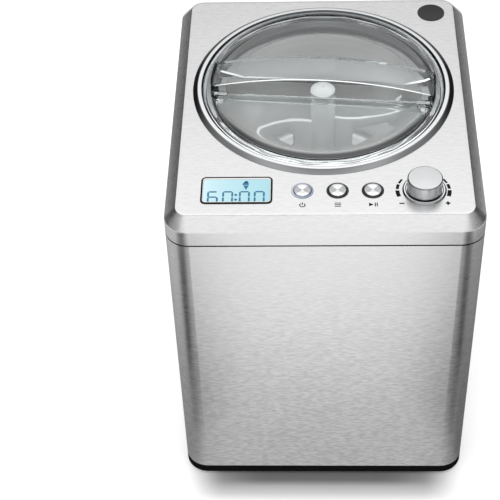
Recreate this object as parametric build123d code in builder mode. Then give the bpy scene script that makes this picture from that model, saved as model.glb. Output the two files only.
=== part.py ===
from build123d import *

import math
import os

# Upright compressor ice cream maker, in millimetres.
# X points right, Y points to the rear, Z points up.
# The origin is under the middle of the casing, on the plane of the feet.

# Casing
corner_radius = 20.0
foot_height = 3.0
foot_radius = 10.0
foot_inset = 30.0
base_height = 8.9
base_floor = 3.0
base_lip = 10.0
base_lip_wall = 2.0
shell_height = 290.8
sheet = 1.0
shell_flange = 12.0
rear_return = 14.0
cap_band = 15.3
seam_gap = 0.8
bevel_height = 10.3
bevel_inset = 9.5
cover_wall = 1.2
fit_gap = 0.3
panel_overlap = 8.0

# Vents
vent_slot = 3.2
vent_pitch = 8.0
side_vent_length = 46.0
side_vent_rows = 9
rear_vent_length = 60.0
rear_vent_rows = 12

# Power inlet in the rear panel
inlet_width = 27.0
inlet_height = 20.0
inlet_flange = 4.0
inlet_flange_thickness = 3.0
inlet_depth = 22.0
inlet_wall = 2.0
inlet_side_gap = 3.5
inlet_z = 40.0
inlet_pin = (2.0, 12.0, 4.0)
inlet_pin_pitch = 7.0

# Deck around the round opening, and its trim ring
deck_side_margin = 7.0
deck_rear_margin = 10.4
control_strip = 45.6
lid_room = 5.5
trim_rise = 3.0
trim_inner_slope = 1.1
trim_crest = 3.6
trim_outer_slope = 3.8
trim_skirt = 2.0

# Bowl and cooling well
bowl_radius = 85.0
bowl_draft = 5.0
bowl_depth = 112.0
bowl_wall = 1.5
bowl_corner = 9.0
bowl_lip = 12.0
bowl_lip_thickness = 3.0
rim_drop = 10.0
chimney_height = 60.0
chimney_bore = 6.7
chimney_wall = 1.5
well_gap = 1.0
well_wall = 2.0
well_floor_gap = 0.5
well_flange_thickness = 2.0
coil_turns = 4
coil_width = 6.0
coil_height = 8.0
coil_pitch = 22.0
coil_gap = 0.1
foam_gap = 0.4
foam_wall = 14.0
foam_floor = 26.0
foam_collar = 5.0
foam_bore = 13.0

# Paddle
hub_radius = 10.5
hub_neck_radius = 9.4
hub_cap_height = 6.0
hub_neck_height = 5.0
hub_dome = 3.0
hub_dimple_radius = 1.6
hub_dimple_depth = 0.8
hub_wall_gap = 0.4
blade_thickness = 3.0
blade_height = 84.0
blade_bulge = 15.0
blade_clearance = 1.6
blade_frame = 13.0
blade_tip_frame = 19.5
blade_count = 2
paddle_angle = 28.0
floor_clearance = 1.0

# Lid, refill flap and bridge handle
lid_turn = -4.7
lid_gap = 1.0
lid_wall = 2.2
lid_rim_width = 4.5
lid_rim_rise = 2.5
lid_skirt_drop = 9.0
rim_gutter = 3.5
dish_edge_rise = 1.5
dish_slope = 22.5
dish_floor_drop = 5.3
seal_width = 4.5
seal_thickness = 1.5
bridge_half_width = 15.7
bridge_end_rise = 7.4
bridge_crown_rise = 20.0
flap_gap = 0.5
flap_lip = 3.0
flap_pin_radius = 1.5
flap_pin_gap = 0.06
knuckle_radius = 3.0
knuckle_length = 7.0
knuckle_inset = 10.0
ear_length = 6.0

# Drive
shaft_radius = 5.0
shaft_gap = 0.05
hex_flats = 8.0
hex_length = 16.0
hex_gap = 0.15
shaft_seal_radius = 9.0
shaft_seal_height = 5.0
bush_wall = 3.0
bush_length = 12.0
gear_module = 1.5
output_teeth = 60
idler_pinion_teeth = 15
fine_module = 1.0
idler_wheel_teeth = 48
motor_pinion_teeth = 12
mesh_play = 0.15
pressure_angle = math.radians(20)
addendum_share = 0.9
dedendum_share = 1.25
tooth_play_share = 0.06
flank_steps = 3
output_gear_width = 11.0
fine_gear_width = 9.0
gear_step = 3.0
gear_hub_wall = 6.0
web_holes = 6
web_hole_radius = 9.0
idler_pin_radius = 3.0
motor_shaft_radius = 3.0
motor_radius = 28.0
motor_height = 62.0
motor_flange = 3.0
motor_ribs = 16
motor_rib_radius = 1.2
gearbox_wall = 3.0
gearbox_gap = 3.0

# Chassis that carries the bowl and the gearbox
chassis_sheet = 2.0
chassis_gap = 2.2
chassis_short = 15.0
chassis_foot = 9.0
chassis_window = (120.0, 84.0)
chassis_window_radius = 14.0

# Cooling unit
compressor_setback = 51.6
compressor_radius = 46.0
compressor_room = 20.8
compressor_dome = 21.0
compressor_seam = 3.0
plate_width = 112.0
plate_depth = 84.0
plate_thickness = 2.5
plate_gap = 1.0
grommet_radius = 8.0
grommet_height = 9.0
grommet_pitch = (94.0, 66.0)
grommet_bolt = 3.0
pipe_radius = 3.0
pipe_bend = 9.0
pipe_stub = 8.0
discharge_share = 0.62
pipe_clear = 6.0
pipe_wall_gap = 4.0
condenser_width = 150.0
condenser_height = 100.0
condenser_depth = 30.0
condenser_setback = 30.5
condenser_fins = 13
condenser_fin = 1.0
condenser_tubes = 4
condenser_tube_radius = 4.0
condenser_end = 2.0
fan_margin = 4.0
fan_rim = 6.0
fan_depth = 18.0
fan_tip_gap = 1.5
fan_hub_radius = 15.0
fan_blades = 5
fan_blade = 2.0
fan_pitch_angle = 25.0
fan_shaft_radius = 1.5
fan_strut = 5.0
fan_motor_depth = 7.0
fan_chord = 17.0
fan_struts = 3
fan_motor_step = 1.0
fan_wheel_gap = 0.5
fan_front_gap = 1.5
fan_blade_root = 2.0
fan_corner_gap = 1.0

# Controls in the front strip of the deck
control_setback = 27.3
button_middle = 10.4
button_pitch = 27.9
button_names = ("power_button", "menu_button", "start_button")
button_radius = 7.1
button_gap = 0.3
button_rise = 1.4
button_skirt = 2.5
button_travel = 1.0
bezel_radius = 8.9
bezel_rise = 0.8
bezel_lip = 0.5
knob_setback = 48.5
knob_radius = 14.0
knob_height = 12.0
knob_draft = 0.6
knob_gap = 0.5
knob_edge = 1.0
flange_radius = 17.5
flange_rise = 1.6
display_setback = 57.7
display_offset = 0.9
display_width = 57.3
display_height = 29.4
display_border = 1.8
display_lip = 0.6
display_corner = 2.5
display_rise = 0.5
sleeve_depth = 3.6
board_drop = 11.0
board_thickness = 1.6
board_margin = 22.5
board_depth = 46.0
board_offset = 0.8
board_post_radius = 3.5
board_post_inset = 5.0
switch_size = 6.0
switch_height = 3.6
switch_plunger_radius = 1.75
switch_floor = 1.0
plunger_gap = 0.2
encoder_size = 12.0
encoder_height = 6.5
encoder_shaft_radius = 3.0
encoder_floor = 1.0
frame_plate = 3.0
frame_post_radius = 4.0

# Widths that follow: the opening is sized round the bowl, and the casing round the opening
trim_inner = bowl_radius + bowl_lip + lid_room
trim_crest_inner = trim_inner + trim_inner_slope
trim_crest_outer = trim_crest_inner + trim_crest
trim_radius = trim_crest_outer + trim_outer_slope
deck_width = 2 * (trim_radius + deck_side_margin)
deck_depth = deck_rear_margin + 2 * trim_radius + control_strip
body_width = deck_width + 2 * bevel_inset
body_depth = deck_depth + 2 * bevel_inset
bowl_y = deck_depth / 2 - deck_rear_margin - trim_radius

# Places in the control strip
control_y = control_setback - deck_depth / 2
button_xs = (button_middle - button_pitch, button_middle, button_middle + button_pitch)
knob_x = body_width / 2 - knob_setback
display_x = display_setback - body_width / 2
display_y = control_y + display_offset
board_y = control_y - board_offset
board_width = body_width - 2 * board_margin

# Heights that follow from the sizes above
base_z = foot_height
floor_z = base_z + base_floor
shell_z = base_z + base_height
seam_z = shell_z + shell_height
crease_z = seam_z + cap_band
deck_z = crease_z + bevel_height
deck_under_z = deck_z - cover_wall
frame_z = seam_z + frame_plate
rim_z = deck_z - rim_drop
well_flange_z = rim_z - bowl_lip_thickness
foam_top_z = well_flange_z - well_flange_thickness
bowl_floor_z = rim_z - bowl_depth
well_floor_z = bowl_floor_z - bowl_wall - well_floor_gap
well_under_z = well_floor_z - well_wall
chassis_z = well_under_z - foam_floor
gearbox_top_z = chassis_z - chassis_sheet
chimney_z = bowl_floor_z + chimney_height

# Radii that follow
well_radius = bowl_radius + bowl_wall + well_gap
well_outer = well_radius + well_wall
foam_inner = well_outer + coil_gap + coil_width + foam_gap
foam_outer = foam_inner + foam_wall
trim_outer_skirt = trim_inner + trim_skirt
deck_hole = trim_outer_skirt + fit_gap
bowl_foot_radius = bowl_radius - bowl_draft
chimney_outer = chimney_bore + chimney_wall
lid_rim_outer = trim_inner - lid_gap
lid_rim_inner = lid_rim_outer - lid_rim_width
dish_edge_radius = lid_rim_inner - rim_gutter
dish_floor_radius = dish_edge_radius - dish_slope
knuckle_x = dish_edge_radius - knuckle_inset
cover_inset = cover_wall + fit_gap

# Opening in the deck for the display, and the window in its bezel
cutout_width = display_width - 2 * display_lip
cutout_height = display_height - 2 * display_lip
window_width = display_width - 2 * display_border
window_height = display_height - 2 * display_border
cutout_corner = display_corner + display_border - display_lip

# Gear train: the idler stands to the right of the bowl axis, the motor in front of the idler
output_pitch = gear_module * output_teeth / 2
idler_distance = output_pitch + gear_module * idler_pinion_teeth / 2 + mesh_play
motor_distance = fine_module * (idler_wheel_teeth + motor_pinion_teeth) / 2 + mesh_play
idler_x = idler_distance
motor_x = idler_x
motor_y = bowl_y - motor_distance
gearbox_height = bush_length + output_gear_width + gear_step + fine_gear_width + 2 * gearbox_gap
gearbox_z = gearbox_top_z - gearbox_height
cover_z = gearbox_z - gearbox_wall
fine_gear_z = gearbox_z + gearbox_gap
output_gear_z = fine_gear_z + fine_gear_width + gear_step

# Cooling unit: the chassis fits in the tray, the compressor and the condenser stand inside the chassis
chassis_half_width = body_width / 2 - sheet - fit_gap - base_lip_wall - chassis_gap - chassis_foot
chassis_half_depth = foam_outer - chassis_short
chassis_left = chassis_sheet - chassis_half_width
plate_z = floor_z + grommet_height
can_z = plate_z + plate_thickness
compressor_height = cover_z - compressor_room - can_z
compressor_x = chassis_left + plate_gap + plate_width / 2
compressor_y = bowl_y - compressor_setback
condenser_left = chassis_left + pipe_wall_gap + pipe_radius + pipe_bend + pipe_clear
condenser_x = condenser_left + condenser_width / 2
condenser_y = body_depth / 2 - condenser_setback
inlet_x = condenser_left + condenser_width + inlet_side_gap + inlet_width / 2

# Places, planes and axes
button_places = [(x, control_y) for x in button_xs]
bowl_axis = Axis((0, bowl_y, 0), (0, 0, 1))
bowl_side = Plane(origin=(0, bowl_y, 0), x_dir=(1, 0, 0), z_dir=(0, -1, 0))
lid_right = (math.cos(math.radians(lid_turn)), math.sin(math.radians(lid_turn)), 0)
lid_plane = Plane(origin=(0, bowl_y, deck_z), x_dir=lid_right, z_dir=(0, 0, 1))
lid_side = Plane(origin=lid_plane.origin, x_dir=lid_plane.x_dir, z_dir=-lid_plane.y_dir)

os.makedirs("parts", exist_ok=True)


def save(piece, name):
    """Label a finished piece and write it as its own file."""
    piece.part.label = name
    export_step(piece.part, f"parts/{name}.step")


def level(height):
    """Horizontal plane at a height."""
    return Plane.XY.offset(height)


def bowl_level(height):
    """Horizontal plane at a height, centred on the bowl axis."""
    return Plane(origin=(0, bowl_y, height))


def turned(points, side=bowl_side, axis=bowl_axis):
    """Solid of revolution from (radius, height) points."""
    with BuildPart() as piece:
        with BuildSketch(side):
            with BuildLine():
                Polyline(*points, close=True)
            make_face()
        revolve(axis=axis)
    return piece


def case_outline(inset, mode=Mode.ADD):
    """Rounded outline of the casing, moved in by an inset."""
    RectangleRounded(body_width - 2 * inset, body_depth - 2 * inset, corner_radius - inset, mode=mode)


# Base tray with a lip inside the steel wrap and air slots in its floor
lip_inset = sheet + fit_gap
with BuildPart() as base_tray:
    with BuildSketch(level(base_z)):
        case_outline(0)
    extrude(amount=base_height)
    with BuildSketch(level(shell_z)):
        case_outline(lip_inset)
    extrude(amount=base_lip)
    with BuildSketch(level(floor_z)):
        case_outline(lip_inset + base_lip_wall)
    extrude(amount=base_height + base_lip, mode=Mode.SUBTRACT)
    with BuildSketch(level(base_z)):
        with Locations((-compressor_x, compressor_y)):
            with GridLocations(0, vent_pitch, 1, side_vent_rows):
                SlotOverall(rear_vent_length, vent_slot)
    extrude(amount=base_floor, mode=Mode.SUBTRACT)
save(base_tray, "base_tray")

# Four rubber feet
with BuildPart() as rubber_feet:
    with BuildSketch(level(0)):
        with GridLocations(body_width - 2 * foot_inset, body_depth - 2 * foot_inset, 2, 2):
            Circle(foot_radius)
    extrude(amount=foot_height)
    chamfer(rubber_feet.edges().group_by(Axis.Z)[0], length=foot_height / 3)
save(rubber_feet, "rubber_feet")

# Steel wrap: front and sides in one bent sheet, with a top flange and rear returns
panel_width = body_width - 2 * corner_radius - 2 * rear_return + 2 * panel_overlap
rear_window = panel_width - 2 * panel_overlap
side_vent_z = shell_z + base_lip + side_vent_rows * vent_pitch
with BuildPart() as steel_wrap:
    with BuildSketch(level(shell_z)):
        case_outline(0)
        case_outline(sheet, mode=Mode.SUBTRACT)
    extrude(amount=shell_height)
    with BuildSketch(level(seam_z - sheet)):
        case_outline(0)
        case_outline(shell_flange, mode=Mode.SUBTRACT)
    extrude(amount=sheet)
    with BuildSketch(Plane.XZ.offset(-body_depth / 2 - sheet)):
        with Locations((0, shell_z)):
            Rectangle(rear_window, shell_height - sheet, align=(Align.CENTER, Align.MIN))
    extrude(amount=rear_return, mode=Mode.SUBTRACT)
    with BuildSketch(Plane.YZ):
        with Locations((bowl_y, side_vent_z)):
            with GridLocations(0, vent_pitch, 1, side_vent_rows):
                SlotOverall(side_vent_length, vent_slot)
    extrude(amount=body_width, both=True, mode=Mode.SUBTRACT)
save(steel_wrap, "steel_wrap")

# Rear panel inside the returns of the wrap, with exhaust slots and the inlet opening
panel_y = body_depth / 2 - sheet
panel_z = shell_z + base_lip + fit_gap
panel_height = seam_z - sheet - fit_gap - panel_z
panel_plane = Plane(origin=(0, panel_y, panel_z + panel_height / 2), x_dir=(-1, 0, 0), z_dir=(0, 1, 0))
with BuildPart() as rear_panel:
    with BuildSketch(panel_plane):
        Rectangle(panel_width, panel_height)
        with Locations((-inlet_x, inlet_z - panel_plane.origin.Z)):
            Rectangle(inlet_width + 2 * fit_gap, inlet_height + 2 * fit_gap, mode=Mode.SUBTRACT)
        with Locations((-condenser_x, floor_z + condenser_height / 2 - panel_plane.origin.Z)):
            with GridLocations(rear_vent_length + vent_pitch, vent_pitch, 2, rear_vent_rows):
                SlotOverall(rear_vent_length, vent_slot, mode=Mode.SUBTRACT)
    extrude(amount=-sheet)
save(rear_panel, "rear_panel")

# Power inlet: a socket behind the panel with three flat pins
inlet_plane = Plane(origin=(inlet_x, panel_y, inlet_z), x_dir=(-1, 0, 0), z_dir=(0, 1, 0))
pin_width, pin_length, pin_height = inlet_pin
with BuildPart() as power_inlet:
    with BuildSketch(inlet_plane):
        RectangleRounded(inlet_width, inlet_height, inlet_wall)
    extrude(amount=-inlet_depth)
    with BuildSketch(inlet_plane.offset(-sheet)):
        Rectangle(inlet_width + 2 * inlet_flange, inlet_height + 2 * inlet_flange)
    extrude(amount=-inlet_flange_thickness)
    with BuildSketch(inlet_plane):
        RectangleRounded(inlet_width - 2 * inlet_wall, inlet_height - 2 * inlet_wall, inlet_wall)
    extrude(amount=inlet_wall - inlet_depth, mode=Mode.SUBTRACT)
    with BuildSketch(inlet_plane.offset(inlet_wall - inlet_depth)):
        with Locations((-inlet_pin_pitch, -inlet_wall), (0, inlet_wall), (inlet_pin_pitch, -inlet_wall)):
            Rectangle(pin_width, pin_height)
    extrude(amount=pin_length)
save(power_inlet, "power_inlet")

# Pressed steel top cover: band, bevel and deck with the openings for ring and controls
bevel_slope = bevel_height / bevel_inset
bevel_length = math.hypot(1, bevel_slope)
inner_crease_z = crease_z - cover_wall * (bevel_length - bevel_slope)
inner_deck_inset = bevel_inset + cover_wall * (bevel_length - 1) / bevel_slope
cap_z = seam_z + seam_gap
with BuildPart() as top_cover:
    with BuildSketch(level(cap_z)):
        case_outline(0)
    extrude(amount=crease_z - cap_z)
    with BuildSketch(level(crease_z)):
        case_outline(0)
    with BuildSketch(level(deck_z)):
        case_outline(bevel_inset)
    loft(ruled=True)
    with BuildSketch(level(cap_z)):
        case_outline(cover_wall)
    extrude(amount=inner_crease_z - cap_z, mode=Mode.SUBTRACT)
    with BuildSketch(level(inner_crease_z)):
        case_outline(cover_wall)
    with BuildSketch(level(deck_under_z)):
        case_outline(inner_deck_inset)
    loft(ruled=True, mode=Mode.SUBTRACT)
    with BuildSketch(level(deck_z)):
        with Locations((0, bowl_y)):
            Circle(deck_hole)
        with Locations((display_x, display_y)):
            RectangleRounded(cutout_width, cutout_height, cutout_corner)
        with Locations(*button_places):
            Circle(bezel_radius - bezel_lip)
        with Locations((knob_x, control_y)):
            Circle(encoder_shaft_radius + 2 * fit_gap)
    extrude(amount=-2 * cover_wall, mode=Mode.SUBTRACT)
save(top_cover, "top_cover")

# Plastic carrier under the deck: rests on the wrap, holds the well jacket, the deck posts and the board
board_z = deck_under_z - board_drop
board_post_width = board_width - 2 * board_post_inset
board_post_depth = board_depth - 2 * board_post_inset
post_x = body_width / 2 - bevel_inset - 2 * frame_post_radius
post_front_y = bowl_y - trim_radius + 2 * frame_post_radius
post_rear_y = body_depth / 2 - bevel_inset - 3 * frame_post_radius
with BuildPart() as top_frame:
    with BuildSketch(level(seam_z)):
        case_outline(cover_inset)
        with Locations((0, bowl_y)):
            Circle(foam_outer + fit_gap, mode=Mode.SUBTRACT)
    extrude(amount=frame_plate)
    with BuildSketch(level(frame_z)):
        with Locations(*((side * post_x, y) for side in (-1, 1) for y in (post_front_y, post_rear_y))):
            Circle(frame_post_radius)
    extrude(amount=deck_under_z - frame_z)
    with BuildSketch(level(frame_z)):
        with Locations((0, board_y)):
            with GridLocations(board_post_width, board_post_depth, 2, 2):
                Circle(board_post_radius)
    extrude(amount=board_z - board_thickness - frame_z)
save(top_frame, "top_frame")

# Chrome trim ring: stands on the flange of the well and covers the edge of the deck
trim_ring = turned(
    (
        (trim_inner, well_flange_z),
        (trim_outer_skirt, well_flange_z),
        (trim_outer_skirt, deck_z),
        (trim_radius, deck_z),
        (trim_crest_outer, deck_z + trim_rise),
        (trim_crest_inner, deck_z + trim_rise),
        (trim_inner, deck_z + trim_rise - (trim_crest_inner - trim_inner)),
    )
)
save(trim_ring, "trim_ring")

# Cooling well: a flanged cup with a hole for the shaft seal
cooling_well = turned(
    (
        (well_radius, well_flange_z),
        (trim_outer_skirt, well_flange_z),
        (trim_outer_skirt, foam_top_z),
        (well_outer, foam_top_z),
        (well_outer, well_under_z),
        (shaft_seal_radius, well_under_z),
        (shaft_seal_radius, well_floor_z),
        (well_radius, well_floor_z),
    )
)
save(cooling_well, "cooling_well")

# Evaporator: turns of flattened tube around the well, joined by one riser
coil_inner = well_outer + coil_gap
coil_low = well_under_z + coil_height
with BuildPart() as evaporator_coil:
    with BuildSketch(bowl_side):
        with Locations(*((coil_inner, coil_low + turn * coil_pitch) for turn in range(coil_turns))):
            Rectangle(coil_width, coil_height, align=(Align.MIN, Align.MIN))
    revolve(axis=bowl_axis)
    with BuildSketch(bowl_level(coil_low)):
        with Locations((0, coil_inner)):
            Rectangle(coil_height, coil_width - coil_gap, align=(Align.CENTER, Align.MIN))
    extrude(amount=(coil_turns - 1) * coil_pitch)
save(evaporator_coil, "evaporator_coil")

# Foam jacket: hangs on the frame by its collar and carries the flange of the well
foam_section = (
    (foam_inner, foam_top_z),
    (foam_outer + foam_collar, foam_top_z),
    (foam_outer + foam_collar, frame_z),
    (foam_outer, frame_z),
    (foam_outer, chassis_z),
    (foam_bore, chassis_z),
    (foam_bore, well_under_z),
    (foam_inner, well_under_z),
)
suction_x = -(coil_inner + coil_width / 2)
with BuildPart() as insulation:
    add(turned(foam_section).part)
    with BuildSketch(bowl_level(chassis_z)):
        with Locations((suction_x, 0)):
            Circle(pipe_radius + fit_gap)
    extrude(amount=foam_floor, mode=Mode.SUBTRACT)
save(insulation, "insulation")

# Removable bowl with a lip, a rounded floor and a chimney over the drive shaft
bowl_under_z = bowl_floor_z - bowl_wall
with BuildPart() as bowl:
    with BuildSketch(bowl_side):
        with BuildLine():
            Polyline(
                (bowl_radius, rim_z),
                (bowl_radius + bowl_lip, rim_z),
                (bowl_radius + bowl_lip, well_flange_z),
                (bowl_radius + bowl_wall, well_flange_z),
                (bowl_foot_radius + bowl_wall, bowl_under_z),
                (chimney_bore, bowl_under_z),
                (chimney_bore, chimney_z),
                (chimney_outer, chimney_z),
                (chimney_outer, bowl_floor_z),
                (bowl_foot_radius, bowl_floor_z),
                close=True,
            )
        make_face()
    revolve(axis=bowl_axis)
    floor_edges = bowl.edges().filter_by(GeomType.CIRCLE)
    fillet(floor_edges.filter_by(lambda edge: abs(edge.radius - bowl_foot_radius) < 0.01), bowl_corner)
    under_edges = bowl.edges().filter_by(GeomType.CIRCLE)
    under_radius = bowl_foot_radius + bowl_wall
    under_corner = bowl_corner + bowl_wall
    fillet(under_edges.filter_by(lambda edge: abs(edge.radius - under_radius) < 0.01), under_corner)
save(bowl, "bowl")

# Paddle: a hub that drops over the chimney onto the shaft, with two curved open blades
hub_bore = chimney_outer + hub_wall_gap
hub_low_z = bowl_floor_z + floor_clearance
hub_cap_z = deck_z - hub_cap_height
neck_z = hub_cap_z - hub_neck_height
blade_reach = bowl_radius
socket_flats = hex_flats + 2 * hex_gap
with BuildPart() as paddle:
    for blade in range(blade_count):
        angle = math.radians(paddle_angle) + math.tau * blade / blade_count
        right = (math.cos(angle), math.sin(angle), 0)
        blade_plane = Plane(origin=(0, bowl_y, hub_low_z), x_dir=right, z_dir=(0, 0, 1))
        with BuildSketch(blade_plane):
            with BuildLine():
                ThreePointArc((hub_bore, 0), (blade_reach / 2, -blade_bulge), (blade_reach, 0))
            trace(line_width=blade_thickness)
        extrude(amount=blade_height)
        window_plane = Plane(origin=blade_plane.origin, x_dir=right, z_dir=-blade_plane.y_dir)
        with BuildSketch(window_plane.offset(-blade_bulge)):
            with Locations((hub_radius + blade_frame, blade_frame)):
                RectangleRounded(
                    bowl_foot_radius - hub_radius - blade_frame - blade_tip_frame,
                    blade_height - 2 * blade_frame,
                    blade_frame / 2,
                    align=(Align.MIN, Align.MIN),
                )
        extrude(amount=3 * blade_bulge, mode=Mode.SUBTRACT)
    with BuildSketch(bowl_side):
        with BuildLine():
            Polyline(
                (0, hub_low_z),
                (bowl_foot_radius - bowl_corner, hub_low_z),
                (bowl_foot_radius - blade_clearance, hub_low_z + bowl_corner),
                (bowl_foot_radius - blade_clearance, hub_low_z + blade_height),
                (0, hub_low_z + blade_height),
                close=True,
            )
        make_face()
    revolve(axis=bowl_axis, mode=Mode.INTERSECT)
    with BuildSketch(bowl_side):
        with BuildLine():
            Polyline(
                (0, hub_low_z),
                (hub_radius, hub_low_z),
                (hub_radius, neck_z),
                (hub_neck_radius, neck_z),
                (hub_neck_radius, hub_cap_z),
                (hub_radius, hub_cap_z),
                (hub_radius, deck_z - hub_dome),
            )
            TangentArc((0, deck_z), (hub_radius, deck_z - hub_dome), tangent=(1, 0))
            Line((0, deck_z), (0, hub_low_z))
        make_face()
    revolve(axis=bowl_axis)
    with BuildSketch(bowl_level(hub_low_z)):
        Circle(hub_bore)
    extrude(amount=chimney_z + fit_gap - hub_low_z, mode=Mode.SUBTRACT)
    with BuildSketch(bowl_level(chimney_z)):
        RegularPolygon(socket_flats / 2, 6, major_radius=False)
    extrude(amount=hex_length + fit_gap, mode=Mode.SUBTRACT)
    with BuildSketch(bowl_level(deck_z)):
        Circle(hub_dimple_radius)
    extrude(amount=-hub_dimple_depth, mode=Mode.SUBTRACT)
save(paddle, "paddle")

# Lid: a clear dish with a raised rim, a bridge handle over the hub and an open front half
floor_top = -dish_floor_drop
floor_under = floor_top - lid_wall
edge_under = dish_edge_rise - lid_wall
seat_inner = dish_edge_radius - lid_wall / 2
seat_outer = seat_inner + lid_wall + lid_wall / 2
seat_z = seal_thickness - rim_drop
skirt_inner = lid_rim_outer - lid_wall
slope = (edge_under - floor_under) / (dish_edge_radius - dish_floor_radius)
seat_top = edge_under - slope * (dish_edge_radius - seat_inner)
front_edge = bridge_half_width + flap_gap
flap_opening = dish_edge_radius + flap_gap
lip_top = seat_top - slope * flap_lip - fit_gap
hinge_y = -(front_edge + knuckle_radius)
hinge_z = dish_edge_rise + lid_wall / 3
knuckle_end = knuckle_x + knuckle_length / 2
ear_x = knuckle_end + fit_gap
lid_axis = Axis(lid_plane.origin, (0, 0, 1))
pin_middle = lid_plane.from_local_coords((0, hinge_y, hinge_z))
pin_plane = Plane(origin=pin_middle, x_dir=(0, 0, 1), z_dir=lid_plane.x_dir)


def arch(half_span, end_rise, crown_rise, low):
    """Side outline of the bridge: a flat foot under a bowed top."""
    with BuildSketch(lid_side) as outline:
        with BuildLine():
            Polyline((half_span, end_rise), (half_span, low), (-half_span, low), (-half_span, end_rise))
            ThreePointArc((-half_span, end_rise), (0, crown_rise), (half_span, end_rise))
        make_face()
    return outline.sketch


def front_half(radius):
    """Half disc in front of the bridge."""
    Circle(radius)
    with Locations((0, -front_edge)):
        Rectangle(2 * radius, 2 * radius, align=(Align.CENTER, Align.MIN), mode=Mode.SUBTRACT)


with BuildPart() as bridge_hollow:
    hollow_side = arch(
        lid_rim_inner, bridge_end_rise - lid_wall, bridge_crown_rise - lid_wall, floor_under - lid_wall
    )
    extrude(hollow_side, amount=bridge_half_width - lid_wall, both=True)
    with BuildSketch(lid_plane):
        Circle(seat_inner - fit_gap)
    extrude(amount=2 * bridge_crown_rise, both=True, mode=Mode.INTERSECT)

with BuildPart() as bridge:
    bridge_side = arch(lid_rim_inner, bridge_end_rise, bridge_crown_rise, floor_under)
    extrude(bridge_side, amount=bridge_half_width, both=True)
    with BuildSketch(lid_plane):
        Circle(seat_outer)
    extrude(amount=2 * bridge_crown_rise, both=True, mode=Mode.INTERSECT)

with BuildPart() as lid:
    with BuildSketch(lid_side):
        with BuildLine():
            Polyline(
                (0, floor_top),
                (dish_floor_radius, floor_top),
                (dish_edge_radius, dish_edge_rise),
                (lid_rim_inner, dish_edge_rise),
                (lid_rim_inner, lid_rim_rise),
                (lid_rim_outer, lid_rim_rise),
                (lid_rim_outer, -lid_skirt_drop),
                (skirt_inner, -lid_skirt_drop),
                (skirt_inner, edge_under),
                (seat_outer, edge_under),
                (seat_outer, seat_z),
                (seat_inner, seat_z),
                (seat_inner, seat_top),
                (dish_floor_radius, floor_under),
                (0, floor_under),
                close=True,
            )
        make_face()
    revolve(axis=lid_axis)
    with BuildSketch(lid_plane.offset(seat_z)):
        front_half(flap_opening)
    extrude(amount=rim_drop + bridge_end_rise, mode=Mode.SUBTRACT)
    with BuildSketch(lid_plane.offset(lip_top - lid_wall)):
        front_half(seat_outer)
        Circle(flap_opening - flap_lip, mode=Mode.SUBTRACT)
    extrude(amount=lid_wall)
    add(bridge.part)
    add(bridge_hollow.part, mode=Mode.SUBTRACT)
    for side in (-1, 1):
        with BuildSketch(pin_plane.offset(side * ear_x)):
            Circle(knuckle_radius)
            Rectangle(2 * knuckle_radius, 2 * knuckle_radius, align=(Align.MAX, Align.CENTER))
        extrude(amount=side * ear_length)
    with BuildSketch(pin_plane):
        Circle(flap_pin_radius + flap_pin_gap)
    extrude(amount=ear_x + ear_length - lid_wall, both=True, mode=Mode.SUBTRACT)
save(lid, "lid")

# Refill flap: the front half of the dish with a rear wall, hinged along the bridge
dish_edge = ((dish_edge_radius, edge_under), (dish_edge_radius, dish_edge_rise))
dish_under = ((0, floor_under), (dish_floor_radius, floor_under))
dish_top = ((dish_floor_radius, floor_top), (0, floor_top))
filled_dish = turned((*dish_under, *dish_edge, (0, dish_edge_rise)), lid_side, lid_axis)
open_dish = turned((*dish_under, *dish_edge, *dish_top), lid_side, lid_axis)
with BuildPart() as flap_wall:
    with BuildSketch(lid_plane.offset(floor_under)):
        with Locations((0, -front_edge)):
            Rectangle(2 * knuckle_end, lid_wall, align=(Align.CENTER, Align.MAX))
    extrude(amount=rim_drop)
    add(filled_dish.part, mode=Mode.INTERSECT)

with BuildPart() as refill_flap:
    with BuildSketch(lid_plane.offset(floor_under)):
        front_half(dish_edge_radius)
        with Locations((0, -front_edge)):
            with GridLocations(2 * (ear_x + ear_length) - fit_gap, 0, 2, 1):
                Rectangle(2 * ear_length, 6 * knuckle_radius, mode=Mode.SUBTRACT)
    extrude(amount=rim_drop)
    add(open_dish.part, mode=Mode.INTERSECT)
    add(flap_wall.part)
    for side in (-1, 1):
        with BuildSketch(pin_plane.offset(side * knuckle_end)):
            Circle(knuckle_radius)
        extrude(amount=-side * knuckle_length)
    with BuildSketch(pin_plane):
        Circle(flap_pin_radius)
    extrude(amount=knuckle_end, both=True, mode=Mode.SUBTRACT)
save(refill_flap, "refill_flap")

# Two pins that carry the flap in the ears of the lid
with BuildPart() as flap_pins:
    for side in (-1, 1):
        with BuildSketch(pin_plane.offset(side * (knuckle_end - knuckle_length))):
            Circle(flap_pin_radius)
        extrude(amount=side * (knuckle_length + ear_length - lid_wall))
save(flap_pins, "flap_pins")

# Soft seal between the lid and the lip of the bowl
seal_middle = (seat_inner + seat_outer) / 2
lid_seal = turned(
    (
        (seal_middle - seal_width / 2, rim_z),
        (seal_middle + seal_width / 2, rim_z),
        (seal_middle + seal_width / 2, rim_z + seal_thickness),
        (seal_middle - seal_width / 2, rim_z + seal_thickness),
    )
)
save(lid_seal, "lid_seal")


# Spur gears with involute flanks
def involute(angle):
    """Involute function of a pressure angle."""
    return math.tan(angle) - angle


def tooth_half_angle(radius, pitch_radius, teeth, module):
    """Half the angle that a tooth fills at a radius."""
    base_radius = pitch_radius * math.cos(pressure_angle)
    at_pitch = math.pi / (2 * teeth) - tooth_play_share * module / pitch_radius
    if radius <= base_radius:
        return at_pitch + involute(pressure_angle)
    return at_pitch + involute(pressure_angle) - involute(math.acos(base_radius / radius))


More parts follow.
